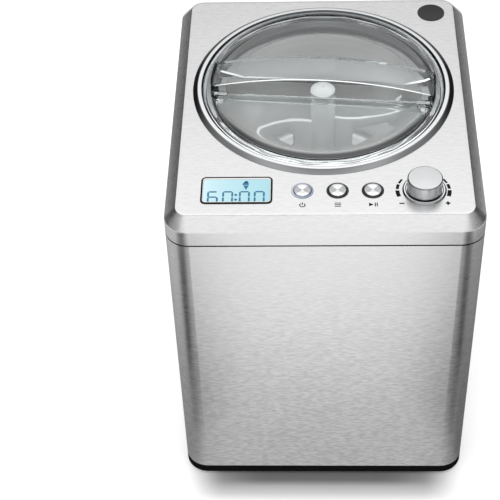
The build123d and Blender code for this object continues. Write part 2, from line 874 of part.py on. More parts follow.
def gear_outline(teeth, module, phase):
    """Points of a gear outline, with one tooth centred on the phase angle."""
    pitch_radius = module * teeth / 2
    tip_radius = pitch_radius + addendum_share * module
    root_radius = pitch_radius - dedendum_share * module
    base_radius = pitch_radius * math.cos(pressure_angle)
    flank_radius = max(root_radius, base_radius)
    flank_step = (tip_radius - flank_radius) / flank_steps
    radii = [flank_radius + flank_step * step for step in range(flank_steps + 1)]
    if root_radius < base_radius:
        radii.insert(0, root_radius)
    points = []
    for tooth in range(teeth):
        middle = phase + 2 * math.pi * tooth / teeth
        rising = [(r, middle - tooth_half_angle(r, pitch_radius, teeth, module)) for r in radii]
        falling = [(r, middle + tooth_half_angle(r, pitch_radius, teeth, module)) for r in reversed(radii)]
        points += [(r * math.cos(a), r * math.sin(a)) for r, a in rising + falling]
    return points


def gear(x, y, z, teeth, module, width, phase, bore):
    """Spur gear at a place, with a round bore."""
    with BuildPart() as wheel:
        with BuildSketch(Plane(origin=(x, y, z))):
            with BuildLine():
                Polyline(*gear_outline(teeth, module, phase), close=True)
            make_face()
            Circle(bore, mode=Mode.SUBTRACT)
        extrude(amount=width)
    return wheel.part


# Tooth phases: a tooth of the output gear points at the idler, which turns a gap towards it
output_phase = 0.0
idler_pinion_phase = math.pi - math.pi / idler_pinion_teeth
idler_wheel_phase = -math.pi / 2
motor_pinion_phase = math.pi / 2 - math.pi / motor_pinion_teeth

# Drive shaft with a hexagonal end for the paddle
shaft_low_z = cover_z
with BuildPart() as drive_shaft:
    with BuildSketch(bowl_level(shaft_low_z)):
        Circle(shaft_radius)
    extrude(amount=chimney_z - shaft_low_z)
    with BuildSketch(bowl_level(chimney_z)):
        RegularPolygon(hex_flats / 2, 6, major_radius=False)
    extrude(amount=hex_length)
save(drive_shaft, "drive_shaft")

# Output gear on the shaft, lightened by round windows
web_circle = (output_pitch + shaft_radius + gear_hub_wall) / 2
with BuildPart() as output_gear:
    add(
        gear(
            0, bowl_y, output_gear_z, output_teeth, gear_module, output_gear_width,
            output_phase, shaft_radius,
        )
    )
    with BuildSketch(bowl_level(output_gear_z)):
        with PolarLocations(web_circle, web_holes):
            Circle(web_hole_radius)
    extrude(amount=output_gear_width, mode=Mode.SUBTRACT)
save(output_gear, "output_gear")

# Idler: a fine wheel and a coarse pinion in one piece, running on a fixed pin
idler_bore = idler_pin_radius + shaft_gap
idler_top_z = output_gear_z + output_gear_width
with BuildPart() as idler_gear:
    add(
        gear(
            idler_x, bowl_y, fine_gear_z, idler_wheel_teeth, fine_module, fine_gear_width,
            idler_wheel_phase, idler_bore,
        )
    )
    add(
        gear(
            idler_x, bowl_y, fine_gear_z + fine_gear_width, idler_pinion_teeth, gear_module,
            idler_top_z - fine_gear_z - fine_gear_width, idler_pinion_phase, idler_bore,
        )
    )
save(idler_gear, "idler_gear")

# Fixed pin of the idler, held by the gearbox cover and the housing
with BuildPart() as idler_pin:
    with BuildSketch(Plane(origin=(idler_x, bowl_y, cover_z))):
        Circle(idler_pin_radius)
    extrude(amount=gearbox_top_z - gearbox_wall - cover_z)
save(idler_pin, "idler_pin")

# Motor pinion on the motor shaft
with BuildPart() as motor_pinion:
    add(
        gear(
            motor_x, motor_y, fine_gear_z, motor_pinion_teeth, fine_module, fine_gear_width,
            motor_pinion_phase, motor_shaft_radius,
        )
    )
save(motor_pinion, "motor_pinion")

# Motor shaft, from inside the motor up to the pinion
motor_top_z = cover_z
motor_z = motor_top_z - motor_height
motor_bore_z = motor_z + motor_height / 4
with BuildPart() as motor_shaft:
    with BuildSketch(Plane(origin=(motor_x, motor_y, motor_bore_z))):
        Circle(motor_shaft_radius)
    extrude(amount=fine_gear_z + fine_gear_width - motor_bore_z)
save(motor_shaft, "motor_shaft")

# Motor under the gearbox cover, with a ribbed can
with BuildPart() as drive_motor:
    with BuildSketch(Plane(origin=(motor_x, motor_y, motor_z))):
        Circle(motor_radius)
        with PolarLocations(motor_radius, motor_ribs):
            Circle(motor_rib_radius)
    extrude(amount=motor_height - motor_flange)
    with BuildSketch(Plane(origin=(motor_x, motor_y, motor_top_z - motor_flange))):
        Circle(motor_radius + motor_flange)
    extrude(amount=motor_flange)
    with BuildSketch(Plane(origin=(motor_x, motor_y, motor_bore_z))):
        Circle(motor_shaft_radius + shaft_gap)
    extrude(amount=motor_height, mode=Mode.SUBTRACT)
save(drive_motor, "drive_motor")

# Gearbox: a housing around the gears, closed from below by a cover
bush_radius = shaft_radius + shaft_gap + bush_wall
output_room = output_pitch + gear_module + gearbox_gap
idler_room = fine_module * idler_wheel_teeth / 2 + fine_module + gearbox_gap
motor_room = fine_module * motor_pinion_teeth / 2 + fine_module + gearbox_gap


def gearbox_outline(wall):
    """Outline that wraps the three gear rooms, with a wall around them."""
    with BuildSketch() as outline:
        with Locations((0, bowl_y)):
            Circle(output_room + wall)
        with Locations((idler_x, bowl_y)):
            Circle(idler_room + wall)
        with Locations((motor_x, motor_y)):
            Circle(motor_room + wall)
        make_hull()
    return outline.sketch


with BuildPart() as gearbox_housing:
    with BuildSketch(level(gearbox_z)):
        add(gearbox_outline(gearbox_wall))
    extrude(amount=gearbox_height)
    with BuildSketch(level(gearbox_z)):
        add(gearbox_outline(0))
    extrude(amount=gearbox_height - gearbox_wall, mode=Mode.SUBTRACT)
    with BuildSketch(bowl_level(gearbox_top_z - bush_length)):
        Circle(bush_radius + gearbox_wall)
    extrude(amount=bush_length)
    with BuildSketch(bowl_level(gearbox_top_z - bush_length)):
        Circle(bush_radius)
    extrude(amount=bush_length, mode=Mode.SUBTRACT)
save(gearbox_housing, "gearbox_housing")

with BuildPart() as gearbox_cover:
    with BuildSketch(level(cover_z)):
        add(gearbox_outline(gearbox_wall))
        with Locations((0, bowl_y)):
            Circle(bush_radius, mode=Mode.SUBTRACT)
        with Locations((idler_x, bowl_y)):
            Circle(idler_pin_radius, mode=Mode.SUBTRACT)
        with Locations((motor_x, motor_y)):
            Circle(motor_shaft_radius + fit_gap, mode=Mode.SUBTRACT)
    extrude(amount=gearbox_wall)
save(gearbox_cover, "gearbox_cover")

# Bushes of the drive shaft, in the housing and in the cover
with BuildPart() as shaft_bushes:
    with BuildSketch(bowl_level(gearbox_top_z - bush_length)):
        Circle(bush_radius)
        Circle(shaft_radius + shaft_gap, mode=Mode.SUBTRACT)
    extrude(amount=bush_length)
    with BuildSketch(bowl_level(cover_z)):
        Circle(bush_radius)
        Circle(shaft_radius + shaft_gap, mode=Mode.SUBTRACT)
    extrude(amount=gearbox_wall)
save(shaft_bushes, "shaft_bushes")

# Shaft seal in the floor of the well
shaft_seal = turned(
    (
        (shaft_radius + shaft_gap, well_floor_z - shaft_seal_height),
        (shaft_seal_radius, well_floor_z - shaft_seal_height),
        (shaft_seal_radius, well_floor_z),
        (shaft_radius + shaft_gap, well_floor_z),
    )
)
save(shaft_seal, "shaft_seal")

# Chassis: a sheet bridge over the cooling unit that carries the foam jacket and the gearbox
chassis_side = Plane.XZ.offset(chassis_half_depth - bowl_y)
chassis_foot_z = floor_z + chassis_sheet
side_window_width, side_window_height = chassis_window
side_window_z = (floor_z + gearbox_top_z) / 2
with BuildPart() as chassis:
    with BuildSketch(chassis_side):
        with BuildLine():
            Polyline(
                (-chassis_half_width - chassis_foot, chassis_foot_z),
                (-chassis_half_width, chassis_foot_z),
                (-chassis_half_width, chassis_z),
                (chassis_half_width, chassis_z),
                (chassis_half_width, chassis_foot_z),
                (chassis_half_width + chassis_foot, chassis_foot_z),
            )
            offset(amount=chassis_sheet, kind=Kind.INTERSECTION, side=Side.RIGHT)
        make_face()
    extrude(amount=-2 * chassis_half_depth)
    with BuildSketch(Plane(origin=(0, bowl_y, side_window_z), x_dir=(0, 1, 0), z_dir=(1, 0, 0))):
        RectangleRounded(side_window_width, side_window_height, chassis_window_radius)
    extrude(amount=body_width, both=True, mode=Mode.SUBTRACT)
    with BuildSketch(bowl_level(chassis_z)):
        Circle(foam_bore)
        with Locations((suction_x, 0)):
            Circle(pipe_radius + fit_gap)
    extrude(amount=-2 * chassis_sheet, mode=Mode.SUBTRACT)
save(chassis, "chassis")

# Hermetic compressor with a weld seam, a foot plate and two pipe stubs
discharge_z = can_z + compressor_height * discharge_share
suction_stub_x = -compressor_radius / 3
suction_stub_y = compressor_radius / 3
suction_stub_z = can_z + compressor_height + pipe_stub
compressor_foot = Plane(origin=(compressor_x, compressor_y, plate_z))
discharge_middle = (compressor_x, compressor_y, discharge_z)
discharge_plane = Plane(origin=discharge_middle, x_dir=(1, 0, 0), z_dir=(0, 1, 0))
with BuildPart() as compressor:
    with BuildSketch(compressor_foot.offset(plate_thickness)):
        Circle(compressor_radius)
    extrude(amount=compressor_height)
    fillet(compressor.edges().filter_by(GeomType.CIRCLE), compressor_dome)
    with BuildSketch(compressor_foot.offset(plate_thickness + compressor_height / 2)):
        Circle(compressor_radius + compressor_seam)
    extrude(amount=compressor_seam)
    with BuildSketch(compressor_foot):
        RectangleRounded(plate_width, plate_depth, grommet_radius)
        with GridLocations(*grommet_pitch, 2, 2):
            Circle(grommet_bolt + fit_gap, mode=Mode.SUBTRACT)
    extrude(amount=plate_thickness)
    with BuildSketch(compressor_foot.offset(plate_thickness + compressor_height / 2)):
        with Locations((suction_stub_x, suction_stub_y)):
            Circle(pipe_radius)
    extrude(amount=compressor_height / 2 + pipe_stub)
    with BuildSketch(discharge_plane):
        Circle(pipe_radius)
    extrude(amount=compressor_radius + pipe_stub)
save(compressor, "compressor")

# Rubber grommets between the foot plate and the tray, with their bolts through the plate
with BuildPart() as compressor_grommets:
    with BuildSketch(compressor_foot):
        with GridLocations(*grommet_pitch, 2, 2):
            Circle(grommet_radius)
    extrude(amount=-grommet_height)
    with BuildSketch(compressor_foot):
        with GridLocations(*grommet_pitch, 2, 2):
            Circle(grommet_bolt)
    extrude(amount=2 * plate_thickness)
save(compressor_grommets, "compressor_grommets")

# Condenser: a stack of fins on straight tubes between two end plates
fin_pitch = condenser_width / (condenser_fins + 1)
tube_pitch = condenser_height / condenser_tubes
condenser_mid_z = floor_z + condenser_height / 2
condenser_end_middle = (condenser_left, condenser_y, condenser_mid_z)
condenser_end_plane = Plane(origin=condenser_end_middle, x_dir=(0, 1, 0), z_dir=(1, 0, 0))
with BuildPart() as condenser:
    for end in (0, condenser_width - condenser_end):
        with BuildSketch(condenser_end_plane.offset(end)):
            Rectangle(condenser_depth, condenser_height)
        extrude(amount=condenser_end)
    for fin in range(condenser_fins):
        with BuildSketch(condenser_end_plane.offset((fin + 1) * fin_pitch)):
            Rectangle(condenser_depth - condenser_end, condenser_height - 4 * condenser_end)
        extrude(amount=condenser_fin)
    with BuildSketch(condenser_end_plane):
        with GridLocations(0, tube_pitch, 1, condenser_tubes):
            Circle(condenser_tube_radius)
    extrude(amount=condenser_width)
save(condenser, "condenser")

# Discharge pipe from the compressor to the end of the condenser
discharge_turn_x = condenser_left - pipe_clear - pipe_bend
discharge_start_y = compressor_y + compressor_radius + pipe_stub
discharge_end_z = condenser_mid_z + tube_pitch / 2
discharge_mid_y = discharge_start_y + 2 * pipe_bend + pipe_clear
with BuildPart() as discharge_pipe:
    with BuildLine() as discharge_path:
        FilletPolyline(
            (compressor_x, discharge_start_y, discharge_z),
            (compressor_x, discharge_mid_y, discharge_z),
            (discharge_turn_x, discharge_mid_y, discharge_end_z),
            (discharge_turn_x, condenser_y, discharge_end_z),
            (condenser_left, condenser_y, discharge_end_z),
            radius=pipe_bend,
        )
    with BuildSketch(Plane(origin=discharge_path.line @ 0, z_dir=discharge_path.line % 0)):
        Circle(pipe_radius)
    sweep()
save(discharge_pipe, "discharge_pipe")

# Suction pipe from the lowest turn of the evaporator down to the top of the compressor
suction_turn_z = suction_stub_z + pipe_bend + pipe_clear
with BuildPart() as suction_pipe:
    with BuildLine() as suction_path:
        FilletPolyline(
            (suction_x, bowl_y, coil_low),
            (suction_x, bowl_y, suction_turn_z),
            (compressor_x + suction_stub_x, compressor_y + suction_stub_y, suction_turn_z),
            (compressor_x + suction_stub_x, compressor_y + suction_stub_y, suction_stub_z),
            radius=pipe_bend,
        )
    with BuildSketch(Plane(origin=suction_path.line @ 0, z_dir=suction_path.line % 0)):
        Circle(pipe_radius)
    sweep()
save(suction_pipe, "suction_pipe")

# Fan in front of the condenser: a square frame with struts, a small motor and a bladed wheel
fan_frame = condenser_height - 2 * fan_margin
fan_radius = fan_frame / 2 - fan_rim
fan_back_y = condenser_y - (condenser_depth - condenser_end) / 2
fan_plane = Plane(origin=(condenser_x, fan_back_y, condenser_mid_z), x_dir=(1, 0, 0), z_dir=(0, -1, 0))
fan_motor_radius = fan_hub_radius - fan_motor_step
wheel_low = fan_motor_depth + fan_wheel_gap
wheel_depth = fan_depth - wheel_low - fan_front_gap
blade_root = fan_hub_radius - fan_blade_root
wheel_middle = fan_plane.origin + fan_plane.z_dir * (wheel_low + wheel_depth / 2)
with BuildPart() as fan_shroud:
    with BuildSketch(fan_plane):
        RectangleRounded(fan_frame, fan_frame, fan_strut)
        Circle(fan_radius + fan_tip_gap, mode=Mode.SUBTRACT)
    extrude(amount=fan_depth)
    with BuildSketch(fan_plane):
        with PolarLocations(0, fan_struts, start_angle=90):
            Rectangle(fan_radius + 2 * fan_tip_gap, fan_strut, align=(Align.MIN, Align.CENTER))
        Circle(fan_motor_radius, mode=Mode.SUBTRACT)
    extrude(amount=fan_strut)
save(fan_shroud, "fan_shroud")

with BuildPart() as fan_motor:
    with BuildSketch(fan_plane):
        Circle(fan_motor_radius)
        Circle(fan_shaft_radius + shaft_gap, mode=Mode.SUBTRACT)
    extrude(amount=fan_motor_depth)
save(fan_motor, "fan_motor")

with BuildPart() as fan_wheel:
    with BuildSketch(fan_plane.offset(wheel_low)):
        Circle(fan_hub_radius)
    extrude(amount=wheel_depth)
    for blade in range(fan_blades):
        angle = 2 * math.pi * blade / fan_blades
        radial = fan_plane.x_dir * math.cos(angle) + fan_plane.y_dir * math.sin(angle)
        root_plane = Plane(origin=wheel_middle + radial * blade_root, x_dir=fan_plane.z_dir, z_dir=radial)
        with BuildSketch(root_plane):
            Rectangle(fan_blade, fan_chord, rotation=fan_pitch_angle)
        extrude(amount=fan_radius - fan_corner_gap - blade_root)
    with BuildSketch(fan_plane.offset(wheel_low)):
        Circle(fan_shaft_radius)
    extrude(amount=fan_motor_depth / 2 - wheel_low)
save(fan_wheel, "fan_wheel")

# Control board on the posts of the frame
with BuildPart() as control_board:
    with BuildSketch(level(board_z)):
        with Locations((0, board_y)):
            Rectangle(board_width, board_depth)
    extrude(amount=-board_thickness)
save(control_board, "control_board")

# Display: a black bezel in the deck and the panel inside it
display_plane = Plane(origin=(display_x, display_y, deck_z))
with BuildPart() as display_bezel:
    with BuildSketch(display_plane):
        RectangleRounded(display_width, display_height, display_corner + display_border)
    extrude(amount=display_rise)
    with BuildSketch(display_plane):
        RectangleRounded(cutout_width - 2 * fit_gap, cutout_height - 2 * fit_gap, cutout_corner - fit_gap)
    extrude(amount=-sleeve_depth)
    with BuildSketch(display_plane.offset(display_rise)):
        RectangleRounded(window_width, window_height, display_corner)
    extrude(amount=-2 * sleeve_depth, mode=Mode.SUBTRACT)
save(display_bezel, "display_bezel")

panel_corner = display_corner - fit_gap
with BuildPart() as display_panel:
    with BuildSketch(level(board_z)):
        with Locations((display_x, display_y)):
            RectangleRounded(window_width - 2 * fit_gap, window_height - 2 * fit_gap, panel_corner)
    extrude(amount=deck_z - board_z)
save(display_panel, "display_panel")

# Three sprung push buttons in chrome bezels, over switches on the board
bezel_inner = button_radius + button_gap
sleeve_radius = bezel_radius - bezel_lip - fit_gap
switch_top_z = board_z + switch_height
plunger_depth = switch_height - switch_floor
plunger_low_z = board_z + switch_floor + button_travel + plunger_gap
with BuildPart() as button_bezels:
    with BuildSketch(level(deck_z)):
        with Locations(*button_places):
            Circle(bezel_radius)
    extrude(amount=bezel_rise)
    with BuildSketch(level(deck_z)):
        with Locations(*button_places):
            Circle(sleeve_radius)
    extrude(amount=-sleeve_depth)
    with BuildSketch(level(deck_z + bezel_rise)):
        with Locations(*button_places):
            Circle(bezel_inner)
    extrude(amount=-2 * sleeve_depth, mode=Mode.SUBTRACT)
save(button_bezels, "button_bezels")

with BuildPart() as button_switches:
    with BuildSketch(level(board_z)):
        with Locations(*button_places):
            Rectangle(switch_size, switch_size)
    extrude(amount=switch_height)
    with BuildSketch(level(switch_top_z)):
        with Locations(*button_places):
            Circle(switch_plunger_radius + shaft_gap)
    extrude(amount=-plunger_depth, mode=Mode.SUBTRACT)
save(button_switches, "button_switches")


def push_button(x):
    """Round cap with a short skirt and a plunger that reaches into its switch."""
    foot = Plane(origin=(x, control_y, deck_z + button_rise))
    with BuildPart() as cap:
        with BuildSketch(foot):
            Circle(button_radius)
        extrude(amount=-button_rise - cover_wall - button_skirt)
        chamfer(cap.edges().group_by(Axis.Z)[-1], length=button_gap)
        with BuildSketch(foot):
            Circle(switch_plunger_radius)
        extrude(amount=plunger_low_z - deck_z - button_rise)
    return cap


for button_name, button_x in zip(button_names, button_xs):
    save(push_button(button_x), button_name)

# Rotary encoder on the board, with the shaft and the knob that turn in it
knob_z = deck_z + flange_rise + knob_gap
knob_top_z = deck_z + flange_rise + knob_height
knob_socket_z = (knob_z + knob_top_z) / 2
with BuildPart() as encoder:
    with BuildSketch(level(board_z)):
        with Locations((knob_x, control_y)):
            Rectangle(encoder_size, encoder_size)
            Circle(encoder_shaft_radius + shaft_gap, mode=Mode.SUBTRACT)
    extrude(amount=encoder_height)
save(encoder, "encoder")

with BuildPart() as encoder_shaft:
    with BuildSketch(level(board_z + encoder_floor)):
        with Locations((knob_x, control_y)):
            Circle(encoder_shaft_radius)
    extrude(amount=knob_socket_z - board_z - encoder_floor)
save(encoder_shaft, "encoder_shaft")

with BuildPart() as knob_flange:
    with BuildSketch(level(deck_z)):
        with Locations((knob_x, control_y)):
            Circle(flange_radius)
    extrude(amount=flange_rise)
    chamfer(knob_flange.edges().group_by(Axis.Z)[-1], length=flange_rise / 2)
    with BuildSketch(level(deck_z)):
        with Locations((knob_x, control_y)):
            Circle(encoder_shaft_radius + 2 * fit_gap)
    extrude(amount=flange_rise, mode=Mode.SUBTRACT)
save(knob_flange, "knob_flange")

knob_side = Plane(origin=(knob_x, control_y, 0), x_dir=(1, 0, 0), z_dir=(0, -1, 0))
knob_axis = Axis((knob_x, control_y, 0), (0, 0, 1))
knob = turned(
    (
        (0, knob_top_z),
        (knob_radius - knob_draft - knob_edge, knob_top_z),
        (knob_radius - knob_draft, knob_top_z - knob_edge),
        (knob_radius, knob_z),
        (encoder_shaft_radius, knob_z),
        (encoder_shaft_radius, knob_socket_z),
        (0, knob_socket_z),
    ),
    knob_side,
    knob_axis,
)
save(knob, "knob")
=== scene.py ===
"""Looks of an upright ice cream maker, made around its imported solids."""

import math

import bmesh
import bpy
from bpy.props import FloatProperty, FloatVectorProperty, IntProperty, PointerProperty
from mathutils import Matrix, Vector


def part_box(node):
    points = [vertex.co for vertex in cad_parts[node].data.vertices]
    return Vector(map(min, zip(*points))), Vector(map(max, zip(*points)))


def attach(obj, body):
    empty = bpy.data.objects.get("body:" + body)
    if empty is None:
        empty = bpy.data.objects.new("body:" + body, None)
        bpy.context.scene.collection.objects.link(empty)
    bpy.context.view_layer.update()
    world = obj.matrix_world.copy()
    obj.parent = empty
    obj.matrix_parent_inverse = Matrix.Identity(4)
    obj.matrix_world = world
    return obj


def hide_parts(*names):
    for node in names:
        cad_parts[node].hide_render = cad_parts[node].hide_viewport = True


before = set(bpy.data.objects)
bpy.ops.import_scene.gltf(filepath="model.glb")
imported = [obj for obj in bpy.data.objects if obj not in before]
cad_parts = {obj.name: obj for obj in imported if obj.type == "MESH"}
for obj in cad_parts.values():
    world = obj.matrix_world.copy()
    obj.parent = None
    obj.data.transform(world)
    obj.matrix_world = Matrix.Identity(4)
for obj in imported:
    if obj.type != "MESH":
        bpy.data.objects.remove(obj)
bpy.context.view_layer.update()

bl_info = {
    "name": "Ice cream maker",
    "version": (1, 0, 0),
    "blender": (4, 5, 0),
    "location": "View3D > Sidebar > Ice cream",
    "description": "Dresses the solids of an upright ice cream maker",
    "category": "Object",
}

MM = 0.001

# Places read from the frame
COVER_LOW, COVER_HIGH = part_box("top_cover")
RING_LOW, RING_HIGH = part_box("trim_ring")
KNOB_LOW, KNOB_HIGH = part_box("knob")
FLANGE_LOW, FLANGE_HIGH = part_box("knob_flange")
SCREEN_LOW, SCREEN_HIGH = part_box("display_panel")
FRAME_LOW, FRAME_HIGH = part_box("display_bezel")
PANEL_LOW, PANEL_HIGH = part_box("rear_panel")
BOWL_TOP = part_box("bowl")[1].z
WRAP_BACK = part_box("steel_wrap")[1].y
DECK = COVER_HIGH.z
BOWL_AXIS = (RING_LOW + RING_HIGH) / 2
KNOB_AXIS = (KNOB_LOW + KNOB_HIGH) / 2
RING_RADIUS = (RING_HIGH.x - RING_LOW.x) / 2
BUTTONS = ("power_button", "menu_button", "start_button")

# Sizes that several pieces share
KNOB_BORE = 3.6 * MM
PRINT_DEPTH = 0.05 * MM
GROOVES_PER_METRE = 2600.0


def length(name, default, description):
    """Length property in metres."""
    return FloatProperty(name=name, default=default, description=description, unit="LENGTH", precision=5)


def colour(name, default, description):
    """Colour property."""
    return FloatVectorProperty(
        name=name, default=default, description=description, subtype="COLOR", size=3
    )


class CasingSettings(bpy.types.PropertyGroup):
    """Sizes of the casing's sheet edges and its trim."""

    corner: length("Corner", 20 * MM, "Corner radius of the casing seen from above")
    bevel_inset: length("Bevel inset", 9.5 * MM, "How far the deck stands in from the sides")
    bevel_height: length("Bevel height", 10.3 * MM, "Height of the sloped edge around the deck")
    crease: length("Crease", 1.1 * MM, "Rounding of the pressed edges")
    sheet: length("Sheet", 1.2 * MM, "Thickness of the pressed cover")
    seam: length("Seam", 0.6 * MM, "Slope of the cover's lower edge, above the wrap")
    screw_radius: length("Screw radius", 3.2 * MM, "Radius of a screw head on the back")
    badge_radius: length("Badge radius", 12.0 * MM, "Radius of the bare disc in the rear corner")


class ControlSettings(bpy.types.PropertyGroup):
    """Sizes of the display's figures and the marks on the deck."""

    digit_height: length("Digit height", 12.0 * MM, "Height of a figure on the display")
    digit_width: length("Digit width", 7.2 * MM, "Width of a figure on the display")
    digit_bar: length("Digit bar", 1.5 * MM, "Width of one bar of a figure")
    mark_radius: length("Mark radius", 20.6 * MM, "Distance of the scale marks from the knob's axis")
    symbol: length("Symbol", 5.0 * MM, "Height of a symbol below a button")
    turns: IntProperty(name="Turns", default=128, min=24, description="Steps round a turned piece")


class ColourSettings(bpy.types.PropertyGroup):
    """Colours of the finishes."""

    steel: colour("Steel", (0.76, 0.76, 0.765), "Brushed stainless sheet")
    chrome: colour("Chrome", (0.82, 0.83, 0.84), "Polished trim")
    # Chrome painted grey for outward slopes: a painted dark reflection.
    chrome_painted_dim: colour("Grey chrome", (0.33, 0.335, 0.34), "Outer slope of the ring")
    # Chrome painted near black for the ring's inner wall: a painted shade.
    chrome_painted_dark: colour("Dark chrome", (0.10, 0.105, 0.11), "Inner wall of the ring")
    black: colour("Black", (0.010, 0.010, 0.011), "Moulded base and bezels")
    white: colour("White", (0.84, 0.84, 0.83), "Moulded paddle")
    clear: colour("Clear", (0.97, 0.985, 0.99), "Clear moulded lid")
    screen: colour("Screen", (0.31, 0.53, 0.59), "Lit display")
    figures: colour("Figures", (0.01, 0.16, 0.30), "Figures on the display")
    lit_ring: colour("Lit ring", (0.23, 0.27, 0.39), "Light ring around the first button")
    print_ink: colour("Print", (0.008, 0.008, 0.009), "Marks printed on the deck")


def both_ways(operation):
    """Methods for a signal on the left and on the right of an operator."""

    def forward(self, other):
        return self.tree.math(operation, self, other)

    def backward(self, other):
        return self.tree.math(operation, other, self)

    return forward, backward


class Signal:
    """One socket of a node. Sums and products of signals add Math nodes."""

    __add__, __radd__ = both_ways("ADD")
    __sub__, __rsub__ = both_ways("SUBTRACT")
    __mul__, __rmul__ = both_ways("MULTIPLY")

    def __init__(self, tree, socket):
        self.tree = tree
        self.socket = socket


class Tree:
    """A node tree under construction. The names of its nodes' kinds start with the family."""

    def __init__(self, tree, family):
        self.tree = tree
        self.family = family

    def node(self, kind, settings=None, inputs=None, out=0):
        """Add a node: its settings first, then the values or links of its sockets.

        A list gives a socket several links.
        """
        made = self.tree.nodes.new(self.family + kind)
        for key, value in (settings or {}).items():
            setattr(made, key, value)
        for key, value in (inputs or {}).items():
            for item in value if isinstance(value, list) else [value]:
                if isinstance(item, Signal):
                    self.tree.links.new(item.socket, made.inputs[key])
                else:
                    made.inputs[key].default_value = item
        return Signal(self, made.outputs[out]) if made.outputs else None


class Finish(Tree):
    """The node tree of a material, or of the world."""

    def __init__(self, name, owner=None):
        self.owner = owner or bpy.data.materials.new(name)
        self.owner.use_nodes = True
        super().__init__(self.owner.node_tree, "ShaderNode")
        self.tree.nodes.clear()

    def math(self, operation, *values):
        """Math node on signals and numbers."""
        return self.node("Math", {"operation": operation}, dict(enumerate(values)))

    def clamp(self, value):
        """Value held between 0 and 1."""
        return self.node("Clamp", None, {0: value})

    def step(self, value, low, high):
        """Smooth rise from 0 to 1 between two values."""
        return self.node("MapRange", {"interpolation_type": "SMOOTHSTEP"}, {0: value, 1: low, 2: high})

    def fall(self, value, low, high):
        """Smooth fall from 1 to 0 between two values."""
        return 1 - self.step(value, low, high)

    def ramp(self, value, low, high, start, end):
        """Straight rise from a start to an end while the value goes from low to high."""
        return self.node("MapRange", None, {0: value, 1: low, 2: high, 3: start, 4: end})

    def mix(self, share, low, high):
        """Colour between two colours."""
        low = low if isinstance(low, Signal) else (*low, 1)
        high = high if isinstance(high, Signal) else (*high, 1)
        return self.node("Mix", {"data_type": "RGBA"}, {0: share, 6: low, 7: high}, 2)

    def place(self, scale=(1, 1, 1), shift=(0, 0, 0)):
        """Object coordinates, moved and then scaled."""
        here = self.node("TexCoord", out="Object")
        moved = self.node("VectorMath", {"operation": "ADD"}, {0: here, 1: shift})
        return self.node("VectorMath", {"operation": "MULTIPLY"}, {0: moved, 1: scale})

    def parts(self, vector):
        """The three coordinates of a vector."""
        first = self.node("SeparateXYZ", None, {0: vector})
        return [Signal(self, socket) for socket in first.socket.node.outputs]

    def noise(self, vector, detail=2.0, rough=0.5):
        """Noise from 0 to 1, one feature per unit."""
        inputs = {"Vector": vector, "Scale": 1.0, "Detail": detail, "Roughness": rough}
        return self.node("TexNoise", None, inputs)

    def mottle(self, scale, detail, rough=0.5):
        """Noise that is the same in all directions."""
        return self.noise(self.place((scale, scale, scale)), detail, rough)

    def round_axis(self, centre):
        """Coordinates from an upright axis: across, along, height and radius."""
        across, along, height = self.parts(self.place(shift=(-centre.x, -centre.y, 0)))
        return across, along, height, self.math("SQRT", across * across + along * along)

    def rings(self, radius, height, detail=2.0):
        """Noise in rings round an upright axis, from a scaled radius and height."""
        return self.noise(self.node("CombineXYZ", None, {0: radius, 2: height}), detail)

    def bump(self, height, strength, distance):
        """Normal from a height."""
        return self.node("Bump", None, {"Height": height, "Strength": strength, "Distance": distance})

    def tone(self, share, base, low, high):
        """Colour between two shades of a base."""
        return self.mix(share, shade(base, low), shade(base, high))

    def ray(self, kind):
        """1 for one kind of ray, else 0."""
        return self.node("LightPath", out=f"Is {kind} Ray")

    def seen(self):
        """1 for what the camera sees, straight or through something clear."""
        return self.clamp(self.ray("Camera") + self.ray("Transmission"))

    def reflected(self):
        """1 for a plain reflection, not for what is seen through something clear."""
        return self.ray("Glossy") * (1 - self.ray("Transmission"))

    def close(self, shader, kind="OutputMaterial"):
        """Join a shader to the output."""
        self.node(kind, None, {"Surface": shader})
        return self.owner

    def principled(self, tone, rough, **more):
        """Principled shader. The names of its further sockets have _ for a space."""
        further = {key.replace("_", " "): value for key, value in more.items()}
        return self.node("BsdfPrincipled", None, {"Base Color": tone, "Roughness": rough, **further})

    def metal(self, tone, rough, relief, **more):
        """Close with a metal."""
        return self.close(self.principled(tone, rough, Metallic=1.0, Normal=relief, **more))


def shade(base, factor):
    """Colour made darker or lighter."""
    return tuple(min(1.0, part * factor) for part in base)


def brushed_finish(name, base, grain):
    """Brushed stainless: long scratches that stand out more towards the foot.

    The grain is their scale on each axis.
    """
    make = Finish(name)
    widest = 720
    fine = make.noise(make.place(grain), 2.0, 0.6)
    coarse = make.noise(make.place(tuple(min(part, widest) for part in grain), (0.3, 0.1, 0.7)))
    cloud = make.mottle(9, 1.0)
    streak = fine * 0.5 + coarse * 0.5
    height = make.parts(make.place())[2]
    contrast = make.ramp(height, 0.0, 0.28, 9.0, 1.7)
    tone = make.clamp((streak - 0.5) * contrast + 0.5 + (cloud - 0.5) * 0.2)
    relief = make.bump(streak, 0.03, 0.0002)
    return make.metal(make.tone(tone, base, 0.86, 1.14), 0.2 + streak * 0.2, relief)


def polished_finish(name, base, rough):
    """Plated metal with faint wiping marks."""
    make = Finish(name)
    wipe = make.mottle(60, 4.0, 0.65)
    relief = make.bump(make.mottle(900, 1.0), 0.02, 0.0001)
    return make.metal(make.tone(wipe, base, 0.94, 1.04), rough + wipe * 0.07, relief)


